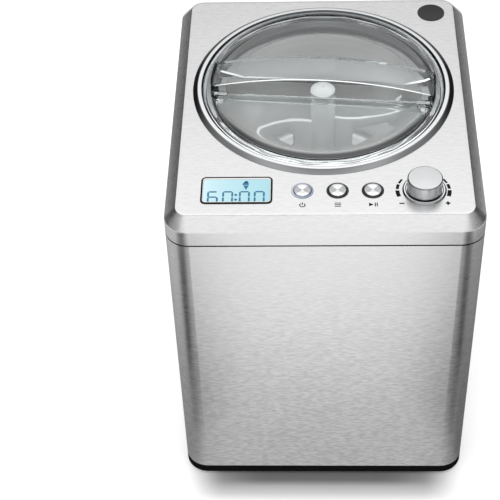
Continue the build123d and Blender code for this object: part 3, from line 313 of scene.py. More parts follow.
def spun_finish(name, base, centre, contrast, rough):
    """Metal turned on a lathe: fine rings, and a painted bow-tie sheen, lighter to the front and rear of
    the axis and darker to the sides.
    """
    make = Finish(name)
    across, along, _, radius = make.round_axis(centre)
    rings = make.rings(radius * GROOVES_PER_METRE, 0.0)
    # Painted sheen: the colour is lighter front and rear of the axis and darker left and right, in place
    # of the reflection such rings give.
    angle = make.math("ARCTAN2", along, across)
    fan = 0.5 - make.math("COSINE", angle * 2.0) * 0.5
    sheen = make.step(fan, 0.34, 0.66)
    tone = make.clamp(sheen * contrast + (1 - contrast) * 0.8 + (rings - 0.5) * 0.35)
    relief = make.bump(rings, 0.12, 0.0001)
    return make.metal(make.tone(tone, base, 0.42, 1.1), rough + rings * 0.12, relief)


def lathed_finish(name, base, centre, rough):
    """Metal with fine grooves round its own upright axis, which spread a reflection across them."""
    make = Finish(name)
    _, _, height, radius = make.round_axis(centre)
    rings = make.rings(radius * GROOVES_PER_METRE, height * GROOVES_PER_METRE)
    return make.metal(
        make.tone(rings, base, 0.8, 1.08),
        rough + rings * 0.1,
        make.bump(rings, 0.1, 0.0001),
        Anisotropic=0.85,
        Anisotropic_Rotation=0.25,
    )


def moulded_finish(name, base, rough, grain=900.0, relief=0.12, shine=0.5):
    """Moulded plastic or rubber: a fine even grain and slight unevenness of tone."""
    make = Finish(name)
    pebble = make.mottle(grain, 2.0)
    cloud = make.mottle(30, 3.0)
    surface = make.principled(
        make.tone(cloud, base, 0.86, 1.14),
        rough - 0.06 + cloud * 0.12,
        Specular_IOR_Level=shine,
        Normal=make.bump(pebble, relief, 0.0001),
    )
    return make.close(surface)


def plain_metal_finish(name, base, rough):
    """Rolled or drawn metal of the inner pieces."""
    make = Finish(name)
    patch = make.mottle(90, 4.0, 0.6)
    relief = make.bump(patch, 0.05, 0.0002)
    return make.metal(make.tone(patch, base, 0.82, 1.1), rough - 0.05 + patch * 0.14, relief)


def turned_bowl_finish(name, base):
    """Drawn metal with fine rings round the bowl's axis. The polished lip is painted darker at the rear,
    a painted dark reflection.
    """
    make = Finish(name)
    _, along, height, radius = make.round_axis(BOWL_AXIS)
    rings = make.rings(radius * 900.0, height * 900.0, 3.0)
    bands = make.rings(radius * 170.0, height * 170.0, 3.0)
    drawn = make.tone(rings * 0.45 + bands * 0.55, base, 0.8, 1.15)
    # Painted reflection: the polished lip darkens towards the rear, where it would mirror the dark wall
    # of the ring.
    lip = make.tone(make.step(along, -0.08, 0.03), base, 1.0, 0.28)
    polish = make.step(height, BOWL_TOP - 0.6 * MM, BOWL_TOP - 0.2 * MM)
    surface = make.principled(
        make.mix(polish, drawn, lip),
        (0.24 + rings * 0.14) * (1 - polish * 0.65),
        Metallic=0.85 + polish * 0.15,
        Normal=make.bump(rings, 0.08, 0.0002),
    )
    return make.close(surface)


def clear_finish(name, base):
    """Clear moulded plastic that lets lamp light through to what is under it."""
    make = Finish(name)
    swirl = make.mottle(70, 2.0)
    tone = make.tone(swirl, base, 0.985, 1.0)
    glassy = make.principled(tone, 0.015 + swirl * 0.02, IOR=1.45, Transmission_Weight=1.0)
    open_air = make.node("BsdfTransparent", None, {"Color": (*base, 1)})
    unseen = make.clamp(make.ray("Shadow") + make.ray("Diffuse") + make.reflected())
    return make.close(make.node("MixShader", None, {0: unseen, 1: glassy, 2: open_air}))


def lit_finish(name, base, strength, low, high):
    """Lit panel: its colour deepens from the left of the box to the right, fast at first."""
    make = Finish(name)
    across = make.parts(make.place((1 / (high.x - low.x), 1, 1), (-low.x, 0, 0)))[0]
    share = make.math("POWER", make.clamp(across), 0.45)
    cells = make.mottle(1500, 1.0)
    pale = tuple(part + (1 - part) * 0.3 for part in base)
    tone = make.mix(make.clamp(share + (cells - 0.5) * 0.12), pale, base)
    return make.close(make.principled(tone, 0.12, Emission_Color=tone, Emission_Strength=strength))


def smoothed(mesh, angle=35):
    """Make a mesh smooth, except at edges sharper than an angle in degrees."""
    for face in mesh.polygons:
        face.use_smooth = True
    mesh.set_sharp_from_angle(angle=math.radians(angle))
    return mesh


def mesh_from(name, built):
    """Mesh of a finished bmesh: merged, facing outwards and smoothed."""
    bmesh.ops.remove_doubles(built, verts=built.verts, dist=1e-7)
    bmesh.ops.recalc_face_normals(built, faces=built.faces)
    mesh = bpy.data.meshes.new(name)
    built.to_mesh(mesh)
    built.free()
    return smoothed(mesh)


def put(name, data):
    """New object in the scene."""
    made = bpy.data.objects.new(name, data)
    bpy.context.scene.collection.objects.link(made)
    return made


def add_piece(name, mesh, finish, body, slot, *nodes):
    """Put a mesh in the scene as a piece that rides on a body and stands for CAD nodes."""
    piece = put(name, mesh)
    mesh.materials.clear()
    mesh.materials.append(finish)
    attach(piece, body)
    if nodes:
        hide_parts(*nodes)
    return piece


def paint_faces(piece, finishes, choose):
    """Add finishes to a piece, and give each face the one whose number a function chooses."""
    for finish in finishes:
        piece.data.materials.append(finish)
    for face in piece.data.polygons:
        face.material_index = choose(face)


def dress(finish, *nodes):
    """Give CAD nodes a finish."""
    for node in nodes:
        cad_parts[node].material_slots[0].material = finish


def middle_of(node):
    """Middle of a CAD node's box."""
    low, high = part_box(node)
    return (low + high) / 2


def reach(face, axis):
    """Distance of a face's middle from an upright axis."""
    return math.hypot(face.center.x - axis.x, face.center.y - axis.y)


def arc(centre, radius, start, end, steps):
    """Points of an arc in a plane, with its angles in degrees."""
    angles = [math.radians(start + (end - start) * step / steps) for step in range(steps + 1)]
    return [(centre[0] + radius * math.cos(a), centre[1] + radius * math.sin(a)) for a in angles]


def circle(centre, radius, steps):
    """Points of a full circle."""
    return arc(centre, radius, 0, 360, steps)[:-1]


def bar(x, y, width, height):
    """Upright rectangle round a point."""
    sides = ((-0.5, -0.5), (0.5, -0.5), (0.5, 0.5), (-0.5, 0.5))
    return [(x + width * right, y + height * up) for right, up in sides]


def rounded(corners, steps=5):
    """Outline through corners of (x, y), or of (x, y, radius) where they are rounded."""
    points = [Vector(corner[:2]) for corner in corners]
    result = []
    for index, (corner, point) in enumerate(zip(corners, points)):
        if len(corner) < 3:
            result.append(corner)
            continue
        radius = corner[2]
        before = (points[index - 1] - point).normalized()
        after = (points[(index + 1) % len(points)] - point).normalized()
        half = math.acos(max(-1.0, min(1.0, before.dot(after)))) / 2
        tangent = radius / math.tan(half)
        middle = point + (before + after).normalized() * (radius / math.sin(half))
        first = point + before * tangent - middle
        last = point + after * tangent - middle
        for step in range(steps + 1):
            spoke = first.lerp(last, step / steps).normalized() * radius
            result.append(tuple(middle + spoke))
    return result


def box_outline(low, high, radius, steps):
    """Rounded rectangle between two corners, counter-clockwise."""
    points = []
    corners = ((high.x, high.y, 0), (low.x, high.y, 90), (low.x, low.y, 180), (high.x, low.y, 270))
    for x, y, start in corners:
        inward_x = x - radius if x == high.x else x + radius
        inward_y = y - radius if y == high.y else y + radius
        points += arc((inward_x, inward_y), radius, start, start + 90, steps)
    return points


def inset_box(low, high, inset):
    """Rectangle moved in on all sides."""
    return Vector((low.x + inset, low.y + inset)), Vector((high.x - inset, high.y - inset))


def lathe(profile, centre, steps):
    """Closed profile of (radius, height) turned round a vertical axis."""
    built = bmesh.new()
    rings = []
    for step in range(steps):
        angle = math.tau * step / steps
        ring = [
            built.verts.new((centre.x + r * math.cos(angle), centre.y + r * math.sin(angle), z))
            for r, z in profile
        ]
        rings.append(ring)
    count = len(profile)
    for step in range(steps):
        here = rings[step]
        there = rings[(step + 1) % steps]
        for index in range(count):
            after = (index + 1) % count
            if profile[index][0] == 0 and profile[after][0] == 0:
                continue
            built.faces.new((here[index], there[index], there[after], here[after]))
    return built


def turned_mesh(name, corners, axis, turns, steps=5):
    """Mesh of a rounded profile of (radius, height) turned round an upright axis."""
    return mesh_from(name, lathe(rounded(corners, steps), axis, turns))


def skin(rings):
    """Strip of faces between closed rings of 3D points, as a bmesh with its rings of vertices."""
    built = bmesh.new()
    made = [[built.verts.new(point) for point in ring] for ring in rings]
    for low, high in zip(made, made[1:]):
        for index in range(len(low)):
            after = (index + 1) % len(low)
            built.faces.new((low[index], low[after], high[after], high[index]))
    return built, made


def loop_edges(built, points):
    """Closed loop of edges through points."""
    verts = [built.verts.new(point) for point in points]
    return [built.edges.new((verts[i], verts[(i + 1) % len(verts)])) for i in range(len(verts))]


def plates(shapes, low, high):
    """Thin plates with given outlines, from one height to another."""
    built = bmesh.new()
    for shape in shapes:
        lower = [built.verts.new((x, y, low)) for x, y in shape]
        upper = [built.verts.new((x, y, high)) for x, y in shape]
        built.faces.new(list(reversed(lower)))
        built.faces.new(upper)
        for index in range(len(shape)):
            after = (index + 1) % len(shape)
            built.faces.new((lower[index], lower[after], upper[after], upper[index]))
    return built


def add_print(name, shapes, height, thick, ink, slot):
    """Thin plates on the casing, as print."""
    mesh = mesh_from(name, plates(shapes, height, height + thick))
    add_piece(name, mesh, ink, "casing", slot)


def baked(piece):
    """Mesh of a piece with its modifiers applied. The piece itself is removed."""
    bpy.context.view_layer.update()
    graph = bpy.context.evaluated_depsgraph_get()
    mesh = bpy.data.meshes.new_from_object(piece.evaluated_get(graph))
    source = piece.data
    bpy.data.objects.remove(piece)
    bpy.data.meshes.remove(source)
    return mesh


def softened_copy(node, name, width, segments=2):
    """Copy of a CAD node's mesh with its sharp edges rounded."""
    built = bmesh.new()
    built.from_mesh(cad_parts[node].data)
    bmesh.ops.remove_doubles(built, verts=built.verts, dist=2e-6)
    flat = math.radians(1.0)
    bmesh.ops.dissolve_limit(
        built, angle_limit=flat, verts=built.verts, edges=built.edges, use_dissolve_boundaries=False
    )
    piece = put(name, mesh_from(name, built))
    edge = piece.modifiers.new("edge", "BEVEL")
    edge.width = width
    edge.segments = segments
    edge.limit_method = "ANGLE"
    edge.angle_limit = math.radians(40)
    edge.use_clamp_overlap = True
    edge.harden_normals = False
    result = smoothed(baked(piece), 50)
    result.name = name
    return result


class ICECREAM_OT_stage(bpy.types.Operator):
    """Floor, light and camera"""

    bl_idname = "icecream.stage"
    bl_label = "Stage"

    def execute(self, context):
        scene = context.scene
        scene.view_settings.view_transform = "Standard"
        self.light_world(scene)
        self.lay_floor()
        self.hang_lamps()
        self.set_camera(scene)
        return {"FINISHED"}

    def light_world(self, scene):
        """White where it is seen, and a softer white as light.

        In reflections it is a bright strip between dark sides, graded upwards at the rear.
        """
        world = bpy.data.worlds.new("studio")
        scene.world = world
        make = Finish("studio", world)
        across, along, height = make.parts(make.place())
        aside = make.math("ABSOLUTE", across)
        behind = make.step(along, 0.0, 0.3)
        wings = make.step(aside, 0.45, 0.7) * 0.7
        flags = make.step(aside, 0.15, 0.4) * make.fall(height, 0.34, 0.60)
        dark = make.math("MAXIMUM", wings, flags)
        front = 1.14
        rear = make.ramp(height, 0.38, 0.93, 0.1, 2.08)
        zenith = make.step(height, 0.88, 0.97)
        mirrored = (front + behind * (rear - front)) * (1 - dark * 0.8) * (1 - zenith * 0.6)
        light = 0.75
        strength = light + make.seen() * (1 - light) + make.reflected() * (mirrored - light)
        sky = make.node("Background", None, {"Color": (1, 1, 1, 1), "Strength": strength})
        make.close(sky, "OutputWorld")

    def lay_floor(self):
        """White table that keeps the lamp's shadow, with a painted shadow in front of the base and its
        own image for reflections.
        """
        built = bmesh.new()
        bmesh.ops.create_grid(built, x_segments=1, y_segments=1, size=6.0)
        mesh = bpy.data.meshes.new("floor")
        built.to_mesh(mesh)
        built.free()
        floor = put("floor", mesh)
        make = Finish("white_table_painted_shadow")
        across, depth, _ = make.parts(make.place())
        aside = make.math("ABSOLUTE", across)
        ahead = 0 - depth - COVER_HIGH.y
        # Painted shadow in front of the base: the colour falls to dark grey in a core and a softer band,
        # and the camera's lift is cut in a wider fringe.
        shadow = make.step(ahead, -0.02, 0.0) * make.fall(aside, 0.09, 0.135)
        painted_core = shadow * make.fall(ahead, 0.007, 0.016) * make.fall(aside, 0.05, 0.135)
        soft = shadow * make.fall(ahead, 0.012, 0.026)
        painted_fringe = shadow * make.fall(ahead, 0.022, 0.036)
        white, grey, dark = ((level,) * 3 for level in (0.93, 0.65, 0.26))
        tone = make.mix(painted_core, make.mix(soft, white, grey), dark)
        table = make.node("BsdfDiffuse", None, {"Color": tone})
        lift = self.glow(make, make.seen() * (1 - painted_fringe) * 0.42)
        lit_table = make.node("AddShader", None, {0: table, 1: lift})
        image = self.glow(make, self.painted_table_reflection(make, across, aside, depth, ahead))
        both = make.node("MixShader", None, {0: make.reflected(), 1: lit_table, 2: image})
        mesh.materials.append(make.close(both))

    @staticmethod
    def glow(make, strength):
        """White emission."""
        return make.node("Emission", None, {"Color": (1, 1, 1, 1), "Strength": strength})

    @staticmethod
    def painted_table_reflection(make, across, aside, depth, ahead):
        """Brightness of the table in reflections, with painted shade near the casing and around its
        front corners.
        """
        beyond = make.math("ABSOLUTE", depth) - COVER_HIGH.y
        away = make.math("MAXIMUM", aside - COVER_HIGH.x, beyond)
        right = make.step(across, -0.1, 0.1)
        side = make.step(aside - 0.115 - ahead * 2.0, -0.03, 0.06)
        narrow = make.fall(ahead, 0.02, 0.11) * 0.045
        spread = aside - make.math("MAXIMUM", ahead, 0.0) * 0.25 - narrow
        fade = make.step(spread, 0.035, 0.13) * (0.64 + right * 0.1)
        wedge = make.step(spread, 0.12, 0.2) * 0.92
        front = make.math("MAXIMUM", fade, wedge) * (1 - side) * make.fall(aside, 0.36, 0.56)
        flank = side * make.fall(aside, 0.5, 0.8) * make.fall(depth, 0.2, 0.4) * (0.5 + right * 0.22)
        far = make.step(aside, 0.6, 1.1) * make.step(depth, 0.6, 1.1) * 0.95
        painted_dark_patches = (1 - front) * (1 - flank) * (1 - far)
        # Painted shade: darker near the casing, with dark patches in front of it and beside it.
        return (0.56 + make.step(away, 0.0, 0.34) * 0.62) * painted_dark_patches

    def hang_lamps(self):
        """Large soft lamp overhead, so that the shadow stays close to the base."""
        lamp = bpy.data.lights.new("soft_box", "AREA")
        lamp.shape = "RECTANGLE"
        lamp.size = 0.6
        lamp.size_y = 0.24
        lamp.energy = 8.0
        lamp_object = put("soft_box", lamp)
        lamp_object.location = (-0.05, -0.03, 1.9)
        aim = Vector((0, 0, 0.2)) - lamp_object.location
        lamp_object.rotation_euler = aim.to_track_quat("-Z", "Y").to_euler()
        lamp_object.visible_glossy = False

    def set_camera(self, scene):
        """Camera solved from the edges of the casing."""
        pitch = math.radians(45.7245)
        yaw = math.radians(-3.3242)
        roll = math.radians(2.6161)
        place = Vector((-11.478, -968.117, 1141.08)) * MM
        level = math.cos(pitch)
        ahead = Vector((math.sin(yaw) * level, math.cos(yaw) * level, -math.sin(pitch)))
        right = Vector((math.cos(yaw), -math.sin(yaw), 0))
        down = ahead.cross(right)
        side = math.cos(roll) * right + math.sin(roll) * down
        lower = -math.sin(roll) * right + math.cos(roll) * down
        turn = Matrix((side, -lower, -ahead)).transposed()
        camera = bpy.data.cameras.new("photo_camera")
        camera.sensor_width = 36.0
        camera.lens = 106.998
        camera_object = put("photo_camera", camera)
        camera_object.matrix_world = Matrix.Translation(place) @ turn.to_4x4()
        scene.camera = camera_object


class ICECREAM_OT_casing(bpy.types.Operator):
    """Steel wrap, pressed cover, base and feet"""

    bl_idname = "icecream.casing"
    bl_label = "Casing"

    def execute(self, context):
        sizes = context.scene.icecream_casing
        colours = context.scene.icecream_colours
        wall = brushed_finish("brushed_wall", colours.steel, (160, 160, 1500))
        deck = brushed_finish("brushed_deck", colours.steel, (150, 1500, 150))
        black = moulded_finish("black_moulding", shade(colours.black, 0.35), 0.6, shine=0.04)
        dress(wall, "steel_wrap")
        dress(black, "base_tray", "top_frame")
        dress(moulded_finish("foot_rubber", colours.black, 0.75, 500.0, 0.2), "rubber_feet")
        mesh = self.press_cover(sizes)
        cover = add_piece("pressed_cover", mesh, wall, "casing", "brushed_steel", "top_cover")

        def choose(face):
            if face.normal.z > 0.999 and face.center.z > DECK - 0.05 * MM:
                return 1
            # The downward-facing lower edge of the cover is painted black, a painted shade that darkens
            # the gap above the wrap.
            in_gap_shade = face.normal.z < -0.3 and face.center.z < COVER_LOW.z + sizes.seam
            return 2 if in_gap_shade else 0

        paint_faces(cover, (deck, black), choose)
        return {"FINISHED"}

    def press_cover(self, sizes):
        """Band, sloped edge and deck in one sheet, with the openings for ring and controls."""
        border_inset = sizes.bevel_inset + 3 * MM
        section = rounded(
            [
                (sizes.seam, COVER_LOW.z),
                (0, COVER_LOW.z + sizes.seam),
                (0, DECK - sizes.bevel_height, sizes.crease),
                (sizes.bevel_inset, DECK, sizes.crease),
                (border_inset, DECK),
            ]
        )
        rings = []
        for inset, height in section:
            low, high = inset_box(COVER_LOW, COVER_HIGH, inset)
            outline = box_outline(low, high, sizes.corner - inset, 16)
            rings.append([(x, y, height) for x, y in outline])
        built, made = skin(rings)
        rim = made[-1]
        border = [built.edges.get((vert, rim[(i + 1) % len(rim)])) for i, vert in enumerate(rim)]
        ring_hole = RING_RADIUS - 6.0 * MM
        button_hole = 7.9 * MM
        low, high = inset_box(FRAME_LOW, FRAME_HIGH, 0.6 * MM)
        holes = [
            circle(BOWL_AXIS, ring_hole, 160),
            box_outline(low, high, 3.7 * MM, 6),
            *(circle(middle_of(name), button_hole, 40) for name in BUTTONS),
            circle(KNOB_AXIS, KNOB_BORE, 24),
        ]
        for hole in holes:
            border += loop_edges(built, [(x, y, DECK) for x, y in hole])
        bmesh.ops.triangle_fill(built, use_beauty=True, edges=border, normal=(0, 0, 1))
        shell = put("cover_shell", mesh_from("pressed_cover", built))
        wall = shell.modifiers.new("wall", "SOLIDIFY")
        wall.thickness = sizes.sheet
        wall.offset = -1.0
        return smoothed(baked(shell))


class ICECREAM_OT_rear(bpy.types.Operator):
    """Rear panel, power inlet and the screws that hold the panel"""

    bl_idname = "icecream.rear"
    bl_label = "Rear"

    def execute(self, context):
        sizes = context.scene.icecream_casing
        colours = context.scene.icecream_colours
        dress(plain_metal_finish("plated_panel", (0.52, 0.53, 0.54), 0.38), "rear_panel")
        dress(moulded_finish("inlet_moulding", colours.black, 0.5), "power_inlet")
        screw_steel = plain_metal_finish("screw_steel", (0.42, 0.42, 0.43), 0.3)
        edge_x = PANEL_HIGH.x - 4.0 * MM
        from_end = 12 * MM
        heights = [PANEL_LOW.z + from_end, (PANEL_LOW.z + PANEL_HIGH.z) / 2, PANEL_HIGH.z - from_end]
        points = [(side * edge_x, WRAP_BACK, height) for side in (-1, 1) for height in heights]
        mesh = bpy.data.meshes.new("screw_points")
        mesh.from_pydata(points, [], [])
        heads = put("rear_screws", mesh)
        tree, sockets = self.screw_tree()
        maker = heads.modifiers.new("heads", "NODES")
        maker.node_group = tree
        maker[sockets["Head radius"]] = sizes.screw_radius
        maker[sockets["Head height"]] = 1.3 * MM
        maker[sockets["Finish"]] = screw_steel
        made = baked(heads)
        if len(made.polygons) < len(points):
            raise RuntimeError("the screw heads came out empty")
        add_piece("rear_screws", made, screw_steel, "casing", "zinc_steel")
        return {"FINISHED"}

    def screw_tree(self):
        """Node tree: a domed head with a cross slot on every point, facing the rear."""
        tree = bpy.data.node_groups.new("screw_heads", "GeometryNodeTree")
        faces = tree.interface
        faces.new_socket("Points", in_out="INPUT", socket_type="NodeSocketGeometry")
        sockets = {}
        kinds = {"Head radius": "Float", "Head height": "Float", "Finish": "Material"}
        for name, kind in kinds.items():
            socket = faces.new_socket(name, in_out="INPUT", socket_type="NodeSocket" + kind)
            sockets[name] = socket.identifier
        faces.new_socket("Geometry", in_out="OUTPUT", socket_type="NodeSocketGeometry")
        make = Tree(tree, "GeometryNode")
        given = tree.nodes.new("NodeGroupInput").outputs
        points, radius, height, finish = (Signal(make, socket) for socket in list(given)[:4])
        end = tree.nodes.new("NodeGroupOutput")
        dome = make.node("MeshUVSphere", None, {"Segments": 24, "Rings": 12, "Radius": 1.0})
        under = make.node("MeshCube", None, {"Size": (4, 4, 2)})
        cutters = [make.node("Transform", None, {"Geometry": under, "Translation": (0, 0, -1.0)})]
        for size in ((1.3, 0.26, 1.3), (0.26, 1.3, 1.3)):
            slot = make.node("MeshCube", None, {"Size": size})
            cutters.append(make.node("Transform", None, {"Geometry": slot, "Translation": (0, 0, 1.1)}))
        head = make.node("MeshBoolean", {"operation": "DIFFERENCE"}, {"Mesh 1": dome, "Mesh 2": cutters})
        scale = Tree(tree, "ShaderNode").node("CombineXYZ", None, {0: radius, 1: radius, 2: height})
        sized = make.node("Transform", None, {"Geometry": head, "Scale": scale})
        turn = (math.radians(-90), 0, 0)
        placed = {"Points": points, "Instance": sized, "Rotation": turn}
        spread = make.node("InstanceOnPoints", None, placed)
        solid = make.node("RealizeInstances", None, {"Geometry": spread})
        painted = make.node("SetMaterial", None, {"Geometry": solid, "Material": finish})
        tree.links.new(painted.socket, end.inputs[0])
        return tree, sockets


class ICECREAM_OT_ring(bpy.types.Operator):
    """Trim ring round the opening, and the well under it"""

    bl_idname = "icecream.ring"
    bl_label = "Trim ring"

    def execute(self, context):
        colours = context.scene.icecream_colours
        turns = 2 * context.scene.icecream_controls.turns
        bright = polished_finish("bright_ring", colours.chrome, 0.10)
        grey = polished_finish("ring_slope_painted_dim", colours.chrome_painted_dim, 0.14)
        dark = polished_finish("ring_wall_painted_dark", colours.chrome_painted_dark, 0.2)
        inner = RING_RADIUS - 8.5 * MM
        sleeve = inner + 2.0 * MM
        crest_in = inner + 1.1 * MM
        crest_out = crest_in + 3.6 * MM
        top = RING_HIGH.z
        corners = [
            (inner, RING_LOW.z),
            (sleeve, RING_LOW.z),
            (sleeve, DECK),
            (RING_RADIUS, DECK),
            (RING_RADIUS, DECK + 0.3 * MM),
            (crest_out, top, 1.4 * MM),
            (crest_in, top, 0.7 * MM),
            (inner, top - 1.1 * MM, 0.4 * MM),
        ]
        mesh = turned_mesh("ring_trim", corners, BOWL_AXIS, turns)
        ring = add_piece("ring_trim", mesh, bright, "casing", "chrome", "trim_ring")

        def choose(face):
            radius = reach(face, BOWL_AXIS)
            # Painted light on one chrome ring: the outer slope gets grey, a painted dark reflection, and
            # the inner wall near black, a painted shade.
            if radius > crest_out - 0.5 * MM:
                return 1
            return 2 if radius < crest_in + 0.7 * MM else 0

        paint_faces(ring, (grey, dark), choose)
        dress(turned_bowl_finish("well_metal", (0.62, 0.62, 0.63)), "cooling_well")
        return {"FINISHED"}


class ICECREAM_OT_bowl(bpy.types.Operator):
    """Bowl and paddle"""

    bl_idname = "icecream.bowl"
    bl_label = "Bowl"

    def execute(self, context):
        colours = context.scene.icecream_colours
        dress(turned_bowl_finish("bowl_metal", (0.90, 0.885, 0.87)), "bowl")
        white = moulded_finish("paddle_white", colours.white, 0.32, 600.0, 0.04)
        paddle = softened_copy("paddle", "paddle_moulding", 0.7 * MM, 3)
        add_piece("paddle_moulding", paddle, white, "paddle", "white_plastic", "paddle")
        return {"FINISHED"}


class ICECREAM_OT_lid(bpy.types.Operator):
    """Clear lid with its bridge, refill flap, pins and seal"""

    bl_idname = "icecream.lid"
    bl_label = "Lid"

    def execute(self, context):
        colours = context.scene.icecream_colours
        clear = clear_finish("clear_moulding", colours.clear)
        lid = softened_copy("lid", "lid_moulding", 0.45 * MM)
        add_piece("lid_moulding", lid, clear, "lid", "clear_plastic", "lid")
        flap = softened_copy("refill_flap", "flap_moulding", 0.45 * MM)
        add_piece("flap_moulding", flap, clear, "flap", "clear_plastic", "refill_flap")
        dress(plain_metal_finish("pin_steel", (0.55, 0.55, 0.56), 0.25), "flap_pins")
        rubber = moulded_finish("seal_rubber", colours.black, 0.5, 300.0, 0.05, 0.2)
        dress(rubber, "lid_seal", "shaft_seal")
        return {"FINISHED"}


class ICECREAM_OT_display(bpy.types.Operator):
    """Display with its bezel and figures"""

    bl_idname = "icecream.display"
    bl_label = "Display"

    def execute(self, context):
        colours = context.scene.icecream_colours
        controls = context.scene.icecream_controls
        gloss = moulded_finish("bezel_black", shade(colours.black, 0.4), 0.3, 400.0, 0.01, 0.1)
        # The lip is painted pale: a painted highlight along the frame's inner slope.
        pale = moulded_finish("bezel_lip_painted_highlight", colours.white, 0.3, 400.0, 0.01)
        mesh = self.bezel()
        bezel = add_piece("bezel_moulding", mesh, gloss, "casing", "black_plastic", "display_bezel")

        def choose(face):
            on_highlight_lip = 0.3 < face.normal.z < 0.99 and face.center.z < FRAME_HIGH.z - 0.12 * MM
            return 1 if on_highlight_lip else 0

        paint_faces(bezel, (pale,), choose)
        dress(lit_finish("lit_screen", colours.screen, 0.35, SCREEN_LOW, SCREEN_HIGH), "display_panel")
        ink = moulded_finish("figure_ink", colours.figures, 0.3, 800.0, 0.02)
        shapes = self.figures(controls) + self.cone()
        add_print("screen_figures", shapes, SCREEN_HIGH.z, 0.06 * MM, ink, "display")
        return {"FINISHED"}

    def bezel(self):
        """Slim black frame with a lip that falls to the panel; the lip is painted pale, a painted
        highlight.
        """
        top = FRAME_HIGH.z
        foot = FRAME_LOW.z
        brim = -0.8 * MM
        inner = 2.0 * MM
        rebate = 1.0 * MM
        section = [
            (0, brim, DECK),
            (0, brim, top - 0.2 * MM),
            (0.2 * MM, brim + 0.2 * MM, top),
            (1.5 * MM, 0.8 * MM, top),
            (inner, inner, DECK + 0.05 * MM),
            (inner, inner, foot),
            (rebate, rebate, foot),
            (rebate, rebate, DECK),
            (0, brim, DECK),
        ]
        rings = []
        for inset_x, inset_y, height in section:
            low = Vector((FRAME_LOW.x + inset_x, FRAME_LOW.y + inset_y))
            high = Vector((FRAME_HIGH.x - inset_x, FRAME_HIGH.y - inset_y))
            rings.append([(x, y, height) for x, y in box_outline(low, high, 4.3 * MM - inset_x, 8)])
        built, _ = skin(rings)
        return mesh_from("bezel_moulding", built)

    def figures(self, controls):
        """Bars of the figures 60:00, cut off by the frame at their foot."""
        six, nought = "abcdf", "abcef"
        low_y = SCREEN_LOW.y - 1.0 * MM
        shapes = []
        for left, lit in ((-92.3, six), (-80.3, nought), (-67.0, nought), (-55.2, nought)):
            shapes += self.bars(left * MM, low_y, lit, controls)
        colon_x = -70.3 * MM
        dot = controls.digit_bar * 0.65 * 1.3
        for share in (0.25, 0.7):
            shapes.append(circle((colon_x, low_y + controls.digit_height * share), dot, 8))
        return shapes

    def bars(self, left, low, lit, controls):
        """Outlines of a figure's bars: a and d run across, the others stand."""
        half = controls.digit_bar / 2
        gap = half * 0.2
        right = left + controls.digit_width
        middle = low + controls.digit_height / 2
        top = low + controls.digit_height
        ends = {
            "a": ((left, top), (right, top)),
            "b": ((left, middle), (left, top)),
            "c": ((left, low), (left, middle)),
            "d": ((left, middle), (right, middle)),
            "e": ((right, middle), (right, top)),
            "f": ((right, low), (right, middle)),
        }
        shapes = []
        for key in lit:
            first, last = (Vector(end) for end in ends[key])
            run = (last - first).normalized()
            across = Vector((-run.y, run.x)) * half
            first = first + run * (gap + half)
            last = last - run * (gap + half)
            tail = (first + across, first - run * half, first - across)
            head = (last - across, last + run * half, last + across)
            shapes.append([(point.x, max(point.y, SCREEN_LOW.y)) for point in (*tail, *head)])
        return shapes

    def cone(self):
        """Small pictogram: a cone under two scoops."""
        x, y = -62.4 * MM, -109.8 * MM
        tip, brim, height = 0.3 * MM, 2.2 * MM, 4.6 * MM
        wafer = [(x - tip, y), (x + tip, y), (x + brim, y + height), (x - brim, y + height)]
        large = arc((x - 0.3 * MM, y + 6.0 * MM), 2.5 * MM, -20, 200, 14)
        small = arc((x + 0.2 * MM, y + 8.2 * MM), 1.7 * MM, -20, 200, 12)
        return [wafer, large, small]


